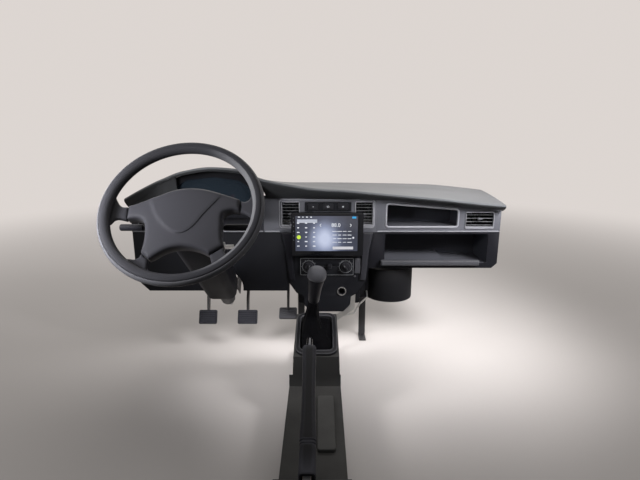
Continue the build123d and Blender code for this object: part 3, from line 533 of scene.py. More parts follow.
def evenly(points, step):
    lengths = [0]
    for a, b in zip(points, points[1:]):
        lengths.append(lengths[-1] + (b - a).length)
    count = max(1, round(lengths[-1] / step))
    result, i = [], 0
    for k in range(count + 1):
        target = lengths[-1] * k / count
        while i < len(points) - 2 and lengths[i + 1] < target:
            i += 1
        span = lengths[i + 1] - lengths[i]
        result.append(points[i].lerp(points[i + 1], (target - lengths[i]) / span if span else 0))
    return result


def roundedCorners(points, radius, steps=5):
    # a polygon with arcs for corners; every corner gives the same number of points
    result = []
    for i, here in enumerate(points):
        here = Vector(here)
        back, ahead = Vector(points[i - 1]) - here, Vector(points[(i + 1) % len(points)]) - here
        angle = back.angle(ahead)
        reach = min(radius / math.tan(angle / 2), back.length * 0.48, ahead.length * 0.48)
        back.normalize()
        ahead.normalize()
        centre = here + (back + ahead).normalized() * (reach / math.cos(angle / 2))
        a, b, turn = here + back * reach - centre, here + ahead * reach - centre, math.pi - angle
        for k in range(steps + 1):
            t = k / steps
            result.append(centre + a * (math.sin((1 - t) * turn) / math.sin(turn))
                          + b * (math.sin(t * turn) / math.sin(turn)))
    return result


def inset(points, amount):
    # a convex outline drawn in by the amount; negative makes it larger
    points = [Vector(p) for p in points]
    area = sum(a.x * b.y - b.x * a.y for a, b in zip(points, points[1:] + points[:1]))
    way = 1 if area > 0 else -1
    moved = []
    for i, here in enumerate(points):
        a = (here - points[i - 1]).normalized()
        b = (points[(i + 1) % len(points)] - here).normalized()
        na, nb = Vector((-a.y, a.x)) * way, Vector((-b.y, b.x)) * way
        corner = (na + nb) / max(0.2, 1 + na.dot(nb))
        moved.append(here + corner * amount)
    return moved


def rectangle(x, z, wide, high):
    w, h = wide / 2, high / 2
    return [(x - w, z - h), (x + w, z - h), (x + w, z + h), (x - w, z + h)]


def ringed(name, outline, radius, profile, closed=False, steps=5):
    # an outline in X and Z carried through a profile of (inset, y)
    rows = []
    for amount, y in profile:
        ring = roundedCorners(inset(outline, amount), max(0.2, radius - amount), steps)
        rows.append([(p.x, y, p.y) for p in ring])
    if closed:
        rows.append(rows[0])
    return loops(name, rows, not closed, not closed)


def lathed(name, profile, place, sides=48, hollow=False):
    # profile of (distance along the axis, radius) in mm turned about the local Z of the matrix
    if hollow:
        profile = profile + profile[:1]
    rows = [[place @ Vector((r * math.cos(2 * math.pi * i / sides), r * math.sin(2 * math.pi * i / sides), d))
             for i in range(sides)] for d, r in profile]
    return loops(name, rows, not hollow, not hollow)


def axes(x, y, z, origin):
    # matrix in mm with these axes
    return Matrix(((x.x, y.x, z.x, origin[0]), (x.y, y.y, z.y, origin[1]), (x.z, y.z, z.z, origin[2]), (0, 0, 0, 1)))


def standing(origin, axis, up=(0, 0, 1)):
    # matrix in mm whose local Z is the axis
    z = Vector(axis).normalized()
    x = Vector(up).cross(z)
    x = x.normalized() if x.length > 0.001 else Vector((1, 0, 0))
    return axes(x, z.cross(x), z, origin)


# measures that several pieces share, in mm, as in the solids
dash = {"fasciaY": -226, "stackX": 37}


class Repeater:
    # a Geometry Nodes tree with named inputs, which gives plain meshes
    def __init__(self, name, inputs):
        self.tree = bpy.data.node_groups.new(name, "GeometryNodeTree")
        self.tree.interface.new_socket("Geometry", in_out="INPUT", socket_type="NodeSocketGeometry")
        self.ids = {}
        for label, value in inputs.items():
            kind = {float: "NodeSocketFloat", int: "NodeSocketInt", Vector: "NodeSocketVector",
                    bpy.types.Material: "NodeSocketMaterial", bpy.types.Object: "NodeSocketObject"}[type(value)]
            socket = self.tree.interface.new_socket(label, in_out="INPUT", socket_type=kind)
            self.ids[label] = socket.identifier
        self.tree.interface.new_socket("Geometry", in_out="OUTPUT", socket_type="NodeSocketGeometry")
        self.source = self.tree.nodes.new("NodeGroupInput")
        self.inputs = inputs

    def add(self, kind, settings=None, values=None, out=0):
        node = self.tree.nodes.new(kind)
        for key, value in (settings or {}).items():
            setattr(node, key, value)
        for key, value in (values or {}).items():
            if isinstance(value, bpy.types.NodeSocket):
                self.tree.links.new(value, node.inputs[key])
            else:
                node.inputs[key].default_value = value
        return node.outputs[out]

    def given(self, label):
        return self.source.outputs[label]

    def ends(self, geometry):
        # closes the tree
        real = self.add("GeometryNodeRealizeInstances", {}, {0: geometry})
        dressed = self.add("GeometryNodeSetMaterial", {}, {0: real, "Material": self.given("Material")})
        self.tree.links.new(dressed, self.tree.nodes.new("NodeGroupOutput").inputs[0])
        return self

    def make(self, name, changes):
        # applies the tree with these inputs to an empty holder, and gives the mesh
        holder = bpy.data.objects.new(name, meshOf(name, [], []))
        bpy.context.scene.collection.objects.link(holder)
        modifier = holder.modifiers.new("repeat", "NODES")
        modifier.node_group = self.tree
        for label, value in {**self.inputs, **changes}.items():
            modifier[self.ids[label]] = value
        mesh = evaluated(holder)
        bpy.data.objects.remove(holder)
        return mesh


# top pad: a thin moulded shell with a rounded lip, raised as a hood over the dials
topPad = {
    "step": 6, "crown": 2.5, "lipRound": 6, "wall": 3.4, "farY": -20,
    # x, lip y, lip z, far z, skirt y, skirt z
    "stations": [(-600, -262, 127, 125, -233, 95), (-550, -265, 154, 132, -233, 101),
                 (-488, -285, 183, 139, -233, 106), (-473, -290, 189, 140, -287, 175),
                 (-395, -315, 217, 145, -312, 204), (-311, -325, 229.5, 148, -322, 217),
                 (-235, -322, 224, 150, -319, 211), (-170, -301, 195, 151, -298, 182),
                 (-156, -297, 190, 151, -233, 126), (-85, -275, 173, 152, -233, 125),
                 (0, -262, 159, 152, -233, 123), (94, -261, 153.5, 151.5, -233, 121),
                 (196, -260, 144, 150, -233, 119), (400, -260, 125.5, 145, -233, 101),
                 (533, -259, 111.5, 133, -233, 89), (600, -258, 106, 125, -233, 83)],
}


def makeTopPad():
    t = topPad
    at = smoothTable(t["stations"])
    first, last = t["stations"][0][0], t["stations"][-1][0]
    count = round((last - first) / t["step"])
    xs = sorted({first + (last - first) * i / count for i in range(count + 1)}
                | {x + d for x in (-480, -163) for d in (-6, -4, -2, 0, 2, 4, 6)})
    rows = []
    for x in xs:
        lipY, lipZ, farZ, skirtY, skirtZ = at(x)
        r = t["lipRound"]
        row = []
        for k in range(9):
            s = k / 8
            row.append((t["farY"] + (lipY + r - t["farY"]) * s,
                        farZ + (lipZ - farZ) * s + t["crown"] * math.sin(math.pi * s)))
        away = max(math.radians(185), min(math.radians(225), math.pi + math.atan2(skirtY - lipY, lipZ - r - skirtZ)))
        for k in range(1, 8):
            a = math.radians(90) + (away - math.radians(90)) * k / 7
            row.append((lipY + r + r * math.cos(a), lipZ - r + r * math.sin(a)))
        startY, startZ = row[-1]
        for k in range(1, 6):
            s = k / 5
            row.append((startY + (skirtY - startY) * s, startZ + (skirtZ - startZ) * s
                        - 1.5 * math.sin(math.pi * s) * min(1, (startZ - skirtZ) / 20)))
        rows.append([(x, y, z) for y, z in row])
    n = len(rows[0])
    faces = [(i * n + k, (i + 1) * n + k, (i + 1) * n + k + 1, i * n + k + 1)
             for i in range(len(rows) - 1) for k in range(n - 1)]
    mesh = meshOf("topPadShell", [Vector(p) * mm for row in rows for p in row], faces)
    piece = lay("topPadShell", mesh, "body", "pad_plastic", "top_pad", 50)
    shell = piece.modifiers.new("wall", "SOLIDIFY")
    shell.thickness, shell.offset, shell.use_even_offset = t["wall"] * mm, 1, True
    applied(piece)
    outwards(piece.data)
    smoothed(piece.data, 50)
    print("top pad:", len(piece.data.polygons), "faces")


# cheeks: smooth flanks between the hood's lip and the dials, with a rounded edge towards them
cheeks = {
    "wall": 2.6, "round": 3,
    # x, upper edge y, z, lower edge y, z: left one from the outer end to the dials, then the right one
    "stations": [[(-568, -247, 114, -231, 96), (-540, -257, 128, -233, 82), (-505, -273, 155, -248, 72),
                  (-473, -286, 176, -277, 72), (-452, -293, 187, -285.5, 72), (-421, -303, 199, -285.5, 72)],
                 [(-160, -286, 152, -285.5, 72), (-167, -290, 166, -285.5, 72), (-182, -300, 188, -285.5, 72),
                  (-198, -305, 197, -285.5, 72)]],
}


def makeCheeks():
    meshes = []
    for table in cheeks["stations"]:
        way = 1 if table[0][0] < table[-1][0] else -1
        at = smoothTable(sorted(table))
        outer, inner = table[0][0], table[-1][0]
        count = max(8, round(abs(inner - outer) / 4))
        rows = []
        for k in range(count + 1):
            x = outer + (inner - outer) * k / count
            topY, topZ, lowY, lowZ = at(x)
            drop = 0
            if k == count:
                drop = cheeks["round"]
            elif k == count - 1:
                x, drop = inner - way * 1.2, cheeks["round"] * 0.3
            front = []
            for i in range(12):
                t = i / 11
                y = topY + (lowY - topY) * t ** 0.8
                front.append((x, y + drop, topZ + (lowZ - topZ) * t))
            rows.append(front + [(x, y + cheeks["wall"], z) for x, y, z in reversed(front)])
        meshes.append(loops("cheek", rows))
    lay("hoodCheeks", joined("hoodCheeks", meshes), "body", "pad_plastic", smooth=45)
    print("hood cheeks done")


# dark fillers close the joints between the panels, inside their thickness
joints = {
    "wide": 5, "front": 1.4, "back": 3.3,
    "lines": [[(-598, 11.8), (598, 11.8)], [(-169.7, 14), (-169.7, 124)], [(196.3, 14), (196.3, 117)],
              [(190.7, 11), (177.7, -48), (171.7, -117), (166.7, -155), (138, -196), (115, -210), (113, -240)],
              [(-116.7, 11), (-103.7, -48), (-97.7, -117), (-92.7, -155), (-64, -196), (-41, -210), (-39, -240)]],
}


def makeJoints():
    meshes = []
    for line in joints["lines"]:
        points = [Vector(p) for p in line]
        rows = []
        for i, p in enumerate(points):
            way = (points[min(i + 1, len(points) - 1)] - points[max(i - 1, 0)]).normalized()
            side = Vector((-way.y, way.x)) * joints["wide"] / 2
            a, b = p + side, p - side
            front, back = dash["fasciaY"] + joints["front"], dash["fasciaY"] + joints["back"]
            rows.append([(a.x, front, a.y), (b.x, front, b.y), (b.x, back, b.y), (a.x, back, a.y)])
        meshes.append(loops("joint", rows))
    lay("jointFillers", joined("jointFillers", meshes), "body", "dark_plastic", smooth=0, finish=jointAndShadePlastic)
    print("joints filled:", len(joints["lines"]))


# air vents: frame with rounded lip, slats and vanes repeated, a tab on the middle slat
airVents = {
    "lip": 3.2, "depth": 44, "slatDeep": 17, "slatThick": 2.4, "slatTilt": -4, "pitch": 10.5, "vanes": 5,
    # middle x, middle z, width, height
    "side": [(-531, 51, 94, 56), (531, 51, 94, 56)],
    "centre": [(-82, 71.5, 61, 83), (156, 71.5, 61, 83)],
}


def ventRepeater(material):
    r = Repeater("slatRows", {"Count": 5, "Pitch": 0.01, "Length": 0.05, "Deep": 0.017, "Thick": 0.002,
                              "Tilt": 0.0, "Start": Vector((0, 0, 0)), "Along": Vector((0, 0, 1)),
                              "Turn": Vector((0, 0, 0)), "Material": material})
    # one slat is a flat oval drawn along its length
    oval = r.add("GeometryNodeCurvePrimitiveCircle", {"mode": "RADIUS"}, {"Resolution": 14, "Radius": 0.5})
    size = r.add("ShaderNodeCombineXYZ", {}, {0: r.given("Deep"), 1: r.given("Thick"), 2: 1.0})
    oval = r.add("GeometryNodeTransform", {}, {0: oval, "Scale": size})
    half = r.add("ShaderNodeMath", {"operation": "MULTIPLY"}, {0: r.given("Length"), 1: 0.5})
    low = r.add("ShaderNodeMath", {"operation": "MULTIPLY"}, {0: half, 1: -1.0})
    start = r.add("ShaderNodeCombineXYZ", {}, {0: low})
    end = r.add("ShaderNodeCombineXYZ", {}, {0: half})
    line = r.add("GeometryNodeCurvePrimitiveLine", {}, {"Start": start, "End": end})
    slat = r.add("GeometryNodeCurveToMesh", {}, {0: line, 1: oval, "Fill Caps": True})
    tilt = r.add("ShaderNodeCombineXYZ", {}, {0: r.given("Tilt")})
    slat = r.add("GeometryNodeTransform", {}, {0: slat, "Rotation": tilt})
    slat = r.add("GeometryNodeTransform", {}, {0: slat, "Rotation": r.given("Turn")})
    stepWay = r.add("ShaderNodeVectorMath", {"operation": "SCALE"}, {0: r.given("Along"), "Scale": r.given("Pitch")})
    points = r.add("GeometryNodeMeshLine", {"mode": "OFFSET"},
                   {"Count": r.given("Count"), "Start Location": r.given("Start"), "Offset": stepWay})
    return r.ends(r.add("GeometryNodeInstanceOnPoints", {}, {"Points": points, "Instance": slat}))


def makeVents():
    v = airVents
    slats = ventRepeater(finishes["vent_plastic"])
    y0 = dash["fasciaY"]
    for group, node in (("side", "side_vents"), ("centre", "centre_vents")):
        frames, rows, deep = [], [], []
        for x, z, wide, high in v[group]:
            profile = [(3.4, y0 + 6), (3.4, y0 + 1), (3.0, y0 - 1.6), (2.2, y0 - v["lip"]), (1.2, y0 - 3.1),
                       (0.3, y0 - 2.1), (0, y0 - 0.2), (3, y0), (3, y0 + 6)]
            frames.append(ringed("frame", rectangle(x, z, wide, high), 5, profile, closed=True))
            # the lower lip slopes out of the frame
            frames.append(ringed("sill", rectangle(x, z - high / 2 + 5.4, wide - 7, 3.4), 0.8,
                                 [(0, y0 + 5), (0, y0 - 1.5), (0.7, y0 - 2.4)]))
            deep.append(ringed("throat", rectangle(x, z, wide, high), 5,
                               [(3.6, y0 + v["depth"]), (3.6, y0 + 2.5), (3, y0 + 2.5), (3, y0 + v["depth"])],
                               closed=True))
            count = round((high - 12) / v["pitch"])
            pitch = (high - 12) / count
            lowest = z - high / 2 + 6 + pitch / 2
            changes = {"Count": count, "Pitch": pitch * mm, "Length": (wide - 7) * mm,
                       "Deep": v["slatDeep"] * mm, "Thick": v["slatThick"] * mm,
                       "Tilt": math.radians(v["slatTilt"]), "Start": Vector((x, y0 + 9, lowest)) * mm,
                       "Along": Vector((0, 0, 1)), "Turn": Vector((0, 0, 0))}
            rows.append(slats.make("slats", changes))
            gap = (wide - 10) / v["vanes"]
            deep.append(slats.make("vanes", {
                **changes, "Count": v["vanes"], "Pitch": gap * mm, "Length": (high - 8) * mm, "Deep": 0.012,
                "Tilt": 0.0, "Start": Vector((x - gap * (v["vanes"] - 1) / 2, y0 + 28, z)) * mm,
                "Along": Vector((1, 0, 0)), "Turn": Vector((0, math.radians(90), 0))}))
            tabZ = z - high / 2 + 6 + pitch * (count // 2 + 0.5)
            rows.append(ringed("tab", rectangle(x, tabZ, 14, 5.6), 1.6,
                               [(1, y0 + 6), (0, y0 + 5), (0, y0 - 4), (0.7, y0 - 5.4), (2.2, y0 - 5.8)]))
        # the frames and sills are pale, a painted highlight on their lips; the throats and vanes inside take the
        # darkest plastic, painted shade
        lay(group + "VentFrames", joined(group + "VentFrames", frames), "body", "vent_plastic", node, 40, paintedHighlightPlastic)
        lay(group + "VentSlats", joined(group + "VentSlats", rows), "body", "vent_plastic", smooth=40)
        lay(group + "VentThroats", joined(group + "VentThroats", deep), "body", "vent_plastic", smooth=40,
            finish=jointAndShadePlastic)
    print("vents done")


# fascia: softened panels, a thin raised bead around the middle group, rolled edges below; the beads are pale, a painted
# highlight
fascia = {"round": 1.1, "beadRound": 1.6, "bead": (-117.5, 27, 189, 118.5), "beadCorner": 9,
          "edgeBeads": [(-597, -172), (-167, -118), (199, 597)], "edgeZ": 14.6}


def makeFascia():
    # the driver's part, in the shade behind the wheel, takes the darker trim finish: painted shade
    for node, finish in (("fascia_passenger", None), ("fascia_centre", None), ("fascia_driver", trimAndShadePlastic)):
        softened(node, fascia["round"], 3, finish)
    x0, z0, x1, z1 = fascia["bead"]
    y0 = dash["fasciaY"]
    r = fascia["beadRound"]
    outline = [(x0, z0), (x1, z0), (x1, z1), (x0, z1)]
    profile = [(-r, y0 + 0.3), (-r * 0.8, y0 - r * 0.6), (0, y0 - r), (r * 0.8, y0 - r * 0.6), (r, y0 + 0.3)]
    beads = [ringed("middleBead", outline, fascia["beadCorner"], profile, closed=True)]
    # a rolled lower edge along the fascia
    for x0, x1 in fascia["edgeBeads"]:
        rows = []
        for x in (x0, x0 + 1.5, x1 - 1.5, x1):
            r = 1.9 if x0 < x < x1 else 0.6
            rows.append([(x, y0 + 0.4 - r * 1.2 * math.sin(a), fascia["edgeZ"] + r * math.cos(a))
                         for a in (math.pi * k / 8 for k in range(9))])
        beads.append(loops("edgeBead", rows))
    lay("fasciaBeads", joined("fasciaBeads", beads), "body", "fascia_plastic", finish=paintedHighlightPlastic)
    print("fascia done")


# upper pocket: a plain box with a rolled rim made pale, a painted highlight
upperPocket = {"outline": [(228, 29), (460.5, 29), (460.5, 86), (228, 105)], "corner": 9, "back": -145.5}


def makePocket():
    y0 = dash["fasciaY"]
    outline, corner = upperPocket["outline"], upperPocket["corner"]
    box = ringed("pocketBox", outline, corner, [(2.6, upperPocket["back"] + 2.5), (2.6, y0 + 2), (2.4, y0 - 0.2),
                                                (0.6, y0 - 0.2), (0.4, y0 + 1), (0.4, upperPocket["back"])])
    lay("pocketBox", box, "body", "dark_plastic", "pocket_box", 40, hollowPlastic)
    rim = ringed("pocketRim", outline, corner,
                 [(2.7, y0 + 4), (2.5, y0 - 0.5), (1.4, y0 - 2.1), (-0.4, y0 - 2.6), (-2.4, y0 - 2.2), (-3.4, y0 - 1),
                  (-3.5, y0 + 0.3)], closed=True)
    lay("pocketRim", rim, "body", "fascia_plastic", smooth=50, finish=paintedHighlightPlastic)
    print("pocket done")


# steering wheel, in its own plane in mm: u to the right, v up, and out along the column
wheel = {
    "centre": (-304, -639, 157.6), "column": 40.8, "turn": 4, "rimRadius": 176, "rimThick": 14,
    "front": -13, "back": -38, "crown": 11, "edgeRound": 9, "raised": 2.6, "grid": 4.0,
    # how far the mesh's inner rings lie from an outline, and the rim's points round it and over its section
    "rings": (0.7, 1.8, 3.4, 5.6, 8.2), "around": 180, "section": 36,
    # parts of the cover's outline between its corners
    "cover": [[(-128.4, 27.5), (-114.7, 29.3), (-96.7, 34.4), (-78.7, 40.7), (-58.3, 47.4), (-35.5, 55.9),
               (-12.3, 61.1), (11.3, 62.1), (35.1, 59.8), (59.1, 53.9), (83, 45.1), (106.9, 35.8), (128.9, 27)],
              [(129.6, 25.8), (130, -2)],
              [(128.6, -3.3), (114.6, -1.2), (100.8, -4.6), (91.8, -11.5), (89.3, -22.1), (89.4, -38), (89.4, -56.2),
               (90.6, -74.3), (94.1, -92.2)],
              [(93.7, -93.7), (63.3, -111.4)],
              [(62.3, -111.8), (48, -102.9), (32.1, -95.9), (14.1, -91.1), (-1.5, -89.5), (-19, -91.1), (-34.1, -95.7),
               (-48.8, -102.8), (-61.2, -110.5), (-70.5, -113.8)],
              [(-71.5, -112.7), (-87.8, -97.4)],
              [(-88.4, -95.6), (-85.3, -82.2), (-83.4, -67.2), (-83.3, -46.7), (-85, -31), (-88.7, -20.3),
               (-96.1, -12.6), (-108, -8.3), (-128.1, -7.7)],
              [(-129.6, -6.8), (-129.1, 26.2)]],
    # ends of the spokes, which belong to the rim
    "ends": [[[(130.8, -4.2), (130.8, 24.8)], [(133.4, 23.1), (142.8, 20.8), (151, 24.1), (156.8, 34.3), (159.2, 51.1)],
              [(161, 58), (168, 56)], [(173, 30), (174, 0), (169, -42)], [(165, -43), (159.2, -32.7)],
              [(152.3, -21.6), (143, -12.9), (133.7, -6.8), (131.5, -5.6)]],
             [[(-130.6, 25.4), (-130.8, -6.4)], [(-131.5, -8.6), (-145.6, -7.9), (-155.4, -10.7), (-160.2, -17)],
              [(-163, -22), (-170, -24)], [(-174, -5), (-175, 20), (-170, 50)], [(-168, 59), (-163.5, 56.7)],
              [(-158.3, 43.8), (-151.4, 32), (-143.3, 26.4), (-131.5, 26.1)]],
             [[(63.9, -112.5), (94.3, -94.8)], [(94.8, -98.8), (97.3, -108.8), (104.2, -117.9)],
              [(112, -121), (121, -122)], [(119, -127), (105, -139), (88, -150), (68, -160)],
              [(64, -157), (62, -149)], [(63.7, -145.2), (68.8, -136), (67.3, -126.3), (64, -114.4)]],
             [[(-88.4, -98.6), (-72.2, -113.7)], [(-71.5, -115.4), (-71.6, -126.2), (-69.3, -138.3), (-60.9, -147.1)],
              [(-59, -152), (-60, -160)], [(-68, -161), (-88, -151), (-107, -138), (-123, -123)],
              [(-121, -118), (-114, -113.4)], [(-110, -112.7), (-101.3, -112.8), (-93.1, -109), (-88.8, -100.2)]]],
    "crease": [(-78.8, 35.6), (-66.3, 1.9), (-52.5, -23), (-34.9, -43.8), (-20.5, -54.9), (-6.7, -59.7), (6.6, -58.3),
               (19.5, -50.7), (32.3, -37.3), (44.9, -19.2), (57.9, -2.2), (73.3, 16.6), (86.7, 33.7)],
    # groove of the rim's seam: angle on its section, width and depth
    "seam": (1.0, 0.11, 0.07),
}


def wheelPlane():
    tilt, turn = math.radians(wheel["column"]), math.radians(wheel["turn"])
    u = Vector((math.cos(turn), math.sin(turn) * math.sin(tilt), math.sin(turn) * math.cos(tilt)))
    n = Vector((0, -math.cos(tilt), math.sin(tilt)))
    return axes(u, n.cross(u), n, wheel["centre"])


def nearest(point, line):
    best = 1e9
    for a, b in zip(line, line[1:]):
        foot, t = intersect_point_line(point, a, b)
        foot = a if t < 0 else b if t > 1 else foot
        best = min(best, (Vector(foot).xy - point).length)
    return best


def insideOf(point, line):
    hit = False
    for a, b in zip(line, line[1:] + line[:1]):
        if (a.y > point.y) != (b.y > point.y) and point.x < (b.x - a.x) * (point.y - a.y) / (b.y - a.y) + a.x:
            hit = not hit
    return hit


def relief(name, sections, front, back, place, grid):
    # a plate with that outline whose front and back heights depend on the place and the distance to its edge
    rings = wheel["rings"]
    outline = []
    for section in sections:
        part = curveThrough([(*p, 0) for p in section], 2.2)
        outline.extend(Vector(p).xy for p in part)
    clean = [outline[0]]
    for p in outline[1:]:
        if (p - clean[-1]).length > 0.35:
            clean.append(p)
    if (clean[0] - clean[-1]).length < 0.35:
        clean.pop()
    outline = clean
    area = sum(a.x * b.y - b.x * a.y for a, b in zip(outline, outline[1:] + outline[:1]))
    if area < 0:
        outline.reverse()
    ring3 = outline + outline[:1]
    points, spread = list(outline), []
    for r in rings:
        for i, p in enumerate(outline):
            way = (outline[(i + 1) % len(outline)] - outline[i - 1]).normalized()
            spread.append((p + Vector((-way.y, way.x)) * r, r * 0.93))
    lowX, highX = min(p.x for p in outline), max(p.x for p in outline)
    lowY, highY = min(p.y for p in outline), max(p.y for p in outline)
    y, row = lowY, 0
    while y < highY:
        x = lowX + (grid / 2 if row % 2 else 0)
        while x < highX:
            spread.append((Vector((x, y)), rings[-1] + grid * 0.5))
            x += grid
        y += grid * 0.87
        row += 1
    kept = {}
    for p, least in spread:
        if not insideOf(p, outline):
            continue
        d = nearest(p, ring3)
        if d < least:
            continue
        cell = (round(p.x / 1.1), round(p.y / 1.1))
        near = [kept[k] for i in (-1, 0, 1) for j in (-1, 0, 1) if (k := (cell[0] + i, cell[1] + j)) in kept]
        if least < rings[-1] and any((q - p).length < 0.9 for q in near):
            continue
        kept[cell] = p
        points.append(p)
    count = len(outline)
    edges = [(i, (i + 1) % count) for i in range(count)]
    flat, _, faces, *_ = delaunay_2d_cdt(points, edges, [], 1, 0.0001)
    distance = [nearest(p, ring3) for p in flat]
    total = len(flat)
    vertices = [place @ Vector((p.x, p.y, front(p, d))) * mm for p, d in zip(flat, distance)]
    vertices += [place @ Vector((p.x, p.y, back(p, d))) * mm for p, d in zip(flat, distance)]
    used = dict.fromkeys((a, b) for face in faces for a, b in zip(face, face[1:] + face[:1]))
    border = [(a, b) for a, b in used if (b, a) not in used]
    every = [tuple(f) for f in faces] + [tuple(total + i for i in reversed(f)) for f in faces]
    every += [(b, a, total + a, total + b) for a, b in border]
    return outwards(meshOf(name, vertices, every), 0.000001)


def makeWheel():
    w = wheel
    place = wheelPlane()
    crease = [Vector(p).xy for p in curveThrough([(*p, 0) for p in w["crease"]], 3)]
    closedCrease = crease + [Vector((90, 90)), Vector((-82, 90))]

    def coverFront(p, d):
        edge = min(1, d / w["edgeRound"])
        drop = w["edgeRound"] * 0.8 * (1 - math.sqrt(max(0, 1 - (1 - edge) ** 2)))
        height = w["front"] - drop + w["crown"] * max(0, 1 - (p.length / 150) ** 2)
        near = nearest(p, crease)
        step = min(1, near / 4.5)
        step = step * step * (3 - 2 * step)
        side = 1 if insideOf(p, closedCrease) else -1
        fade = max(0, min(1, (p.y + 75) / 20)) * max(0, min(1, d / 10))
        return height + w["raised"] * 0.5 * (1 + side * step) * fade - 0.8 * max(0, 1 - near / 2) * fade

    def coverBack(p, d):
        return w["back"] + 3 * max(0, 1 - d / 4) ** 2

    cover = relief("wheelCover", w["cover"], coverFront, coverBack, place, w["grid"])
    lay("wheelCover", cover, "steering", "wheel_foam", "wheel_pad", 60)
    # the crease's right branch is a narrow strip of the darkest plastic, painted shade along the step
    line = [p for p in crease if p.x > -14 and p.y < 31]
    rows = []
    for i, p in enumerate(line):
        way = (line[min(i + 1, len(line) - 1)] - line[max(i - 1, 0)]).normalized()
        side = Vector((-way.y, way.x))
        half = 0.9 * math.sin(math.pi * (i + 0.6) / (len(line) + 0.2)) ** 0.5
        rows.append([place @ Vector((*(p + side * a * half), coverFront(p, 20) + b))
                     for a, b in ((1, 0.2), (0.6, 1.4), (-0.6, 1.4), (-1, 0.2))])
    lay("wheelCrease", loops("wheelCrease", rows), "steering", "wheel_foam", smooth=0, finish=jointAndShadePlastic)

    def endFront(p, d):
        edge = min(1, d / 7)
        rise = max(0, min(1, (p.length - 128) / 40))
        return w["front"] - 2.5 + 7 * rise ** 1.5 - 5.5 * (1 - math.sqrt(max(0, 1 - (1 - edge) ** 2)))

    def endBack(p, d):
        rise = max(0, min(1, (p.length - 128) / 40))
        return w["back"] + 4 + 24 * rise + 3 * max(0, 1 - d / 4) ** 2

    ends = [relief("end", sections, endFront, endBack, place, w["grid"]) for sections in w["ends"]]
    lay("wheelEnds", joined("wheelEnds", ends), "steering", "wheel_foam", "wheel_rim", 60)
    at, wide, deep = w["seam"]
    angles = sorted([2 * math.pi * k / w["section"] for k in range(w["section"])]
                    + [at + wide * k / 3 for k in range(-5, 6)])

    def ringAt(b, r):
        return [place @ Vector(((w["rimRadius"] + r * math.cos(b)) * math.cos(a),
                                (w["rimRadius"] + r * math.cos(b)) * math.sin(a), r * math.sin(b)))
                for a in (2 * math.pi * i / w["around"] for i in range(w["around"]))]

    rows = [ringAt(b, w["rimThick"] * (1 - deep * math.exp(-((b - at) / wide) ** 2))) for b in angles]
    rim = lay("wheelRimSkin", loops("rim", rows + rows[:1], False, False), "steering", "wheel_foam", smooth=60,
              finish=rimFoam).data
    # painted highlights: the outer side paler, and the inner side, polished where hands hold it, paler towards the
    # right
    rim.materials.append(rimOuterHighlight)
    rim.materials.append(rimInnerHighlight)
    back = place.inverted()
    for face in rim.polygons:
        p = back @ (face.center / mm)
        b = math.atan2(p.z, p.xy.length - w["rimRadius"])
        face.material_index = 1 if -1.3 < b < at - 0.05 else 2 if abs(b) > 1.9 else 0
    low = w["rimThick"] * (1 - deep) - 0.4
    seam = loops("seam", [ringAt(at + d, low + up) for d, up in ((-0.06, 0), (-0.03, 0.7), (0.03, 0.7), (0.06, 0),
                                                             (-0.06, 0))], False, False)
    lay("wheelSeam", seam, "steering", "wheel_foam", smooth=0, finish=jointAndShadePlastic)
    print("wheel: cover", len(cover.polygons), "faces")


# instrument cluster: dial scales by repeated ticks, pointers, smoked lens
cluster = {
    "dialY": -246.3, "dials": [(-362, 132), (-262, 132)], "scaleRadius": 38, "sweep": 250,
    "ticks": 27, "figures": 8, "figureRadius": 28, "figureSteps": (20, 1), "textSize": 6.5,
    # how far a hand reaches ahead and back, half its width there, and how far forward it lies
    "handAhead": (34, 0.4), "handBack": (9, 1.6), "handY": -248.6, "capY": -246,
}


def glowing(name, colour, power):
    f = Finish(name)
    soft = f.noise(35, 3)
    return f.shade(colour=tint(colour, 0.3), rough=0.4, glow=f.mix(soft, tint(colour, 0.85), colour),
                   glowPower=power)


def ticksRepeater(material):
    r = Repeater("dialTicks", {"Count": 27, "Radius": 0.038, "Sweep": 4.36, "Long": 0.005, "Wide": 0.0008,
                               "Thick": 0.0004, "Material": material})
    points = r.add("GeometryNodeMeshLine", {"mode": "OFFSET"}, {"Count": r.given("Count")})
    index = r.add("GeometryNodeInputIndex")
    less = r.add("ShaderNodeMath", {"operation": "SUBTRACT"}, {0: r.given("Count"), 1: 1.0})
    part = r.add("ShaderNodeMath", {"operation": "DIVIDE"}, {0: index, 1: less})
    part = r.add("ShaderNodeMath", {"operation": "SUBTRACT"}, {0: part, 1: 0.5})
    angle = r.add("ShaderNodeMath", {"operation": "MULTIPLY"}, {0: part, 1: r.given("Sweep")})
    sine = r.add("ShaderNodeMath", {"operation": "SINE"}, {0: angle})
    cosine = r.add("ShaderNodeMath", {"operation": "COSINE"}, {0: angle})
    place = r.add("ShaderNodeCombineXYZ", {}, {0: sine, 2: cosine})
    place = r.add("ShaderNodeVectorMath", {"operation": "SCALE"}, {0: place, "Scale": r.given("Radius")})
    points = r.add("GeometryNodeSetPosition", {}, {0: points, "Position": place})
    size = r.add("ShaderNodeCombineXYZ", {}, {0: r.given("Wide"), 1: r.given("Thick"), 2: r.given("Long")})
    tick = r.add("GeometryNodeMeshCube", {}, {"Size": size})
    turned = r.add("ShaderNodeCombineXYZ", {}, {1: angle})
    return r.ends(r.add("GeometryNodeInstanceOnPoints", {},
                        {"Points": points, "Instance": tick, "Rotation": turned}))


def moved(mesh, x, y, z):
    mesh.transform(Matrix.Translation((x * mm, y * mm, z * mm)))
    return mesh


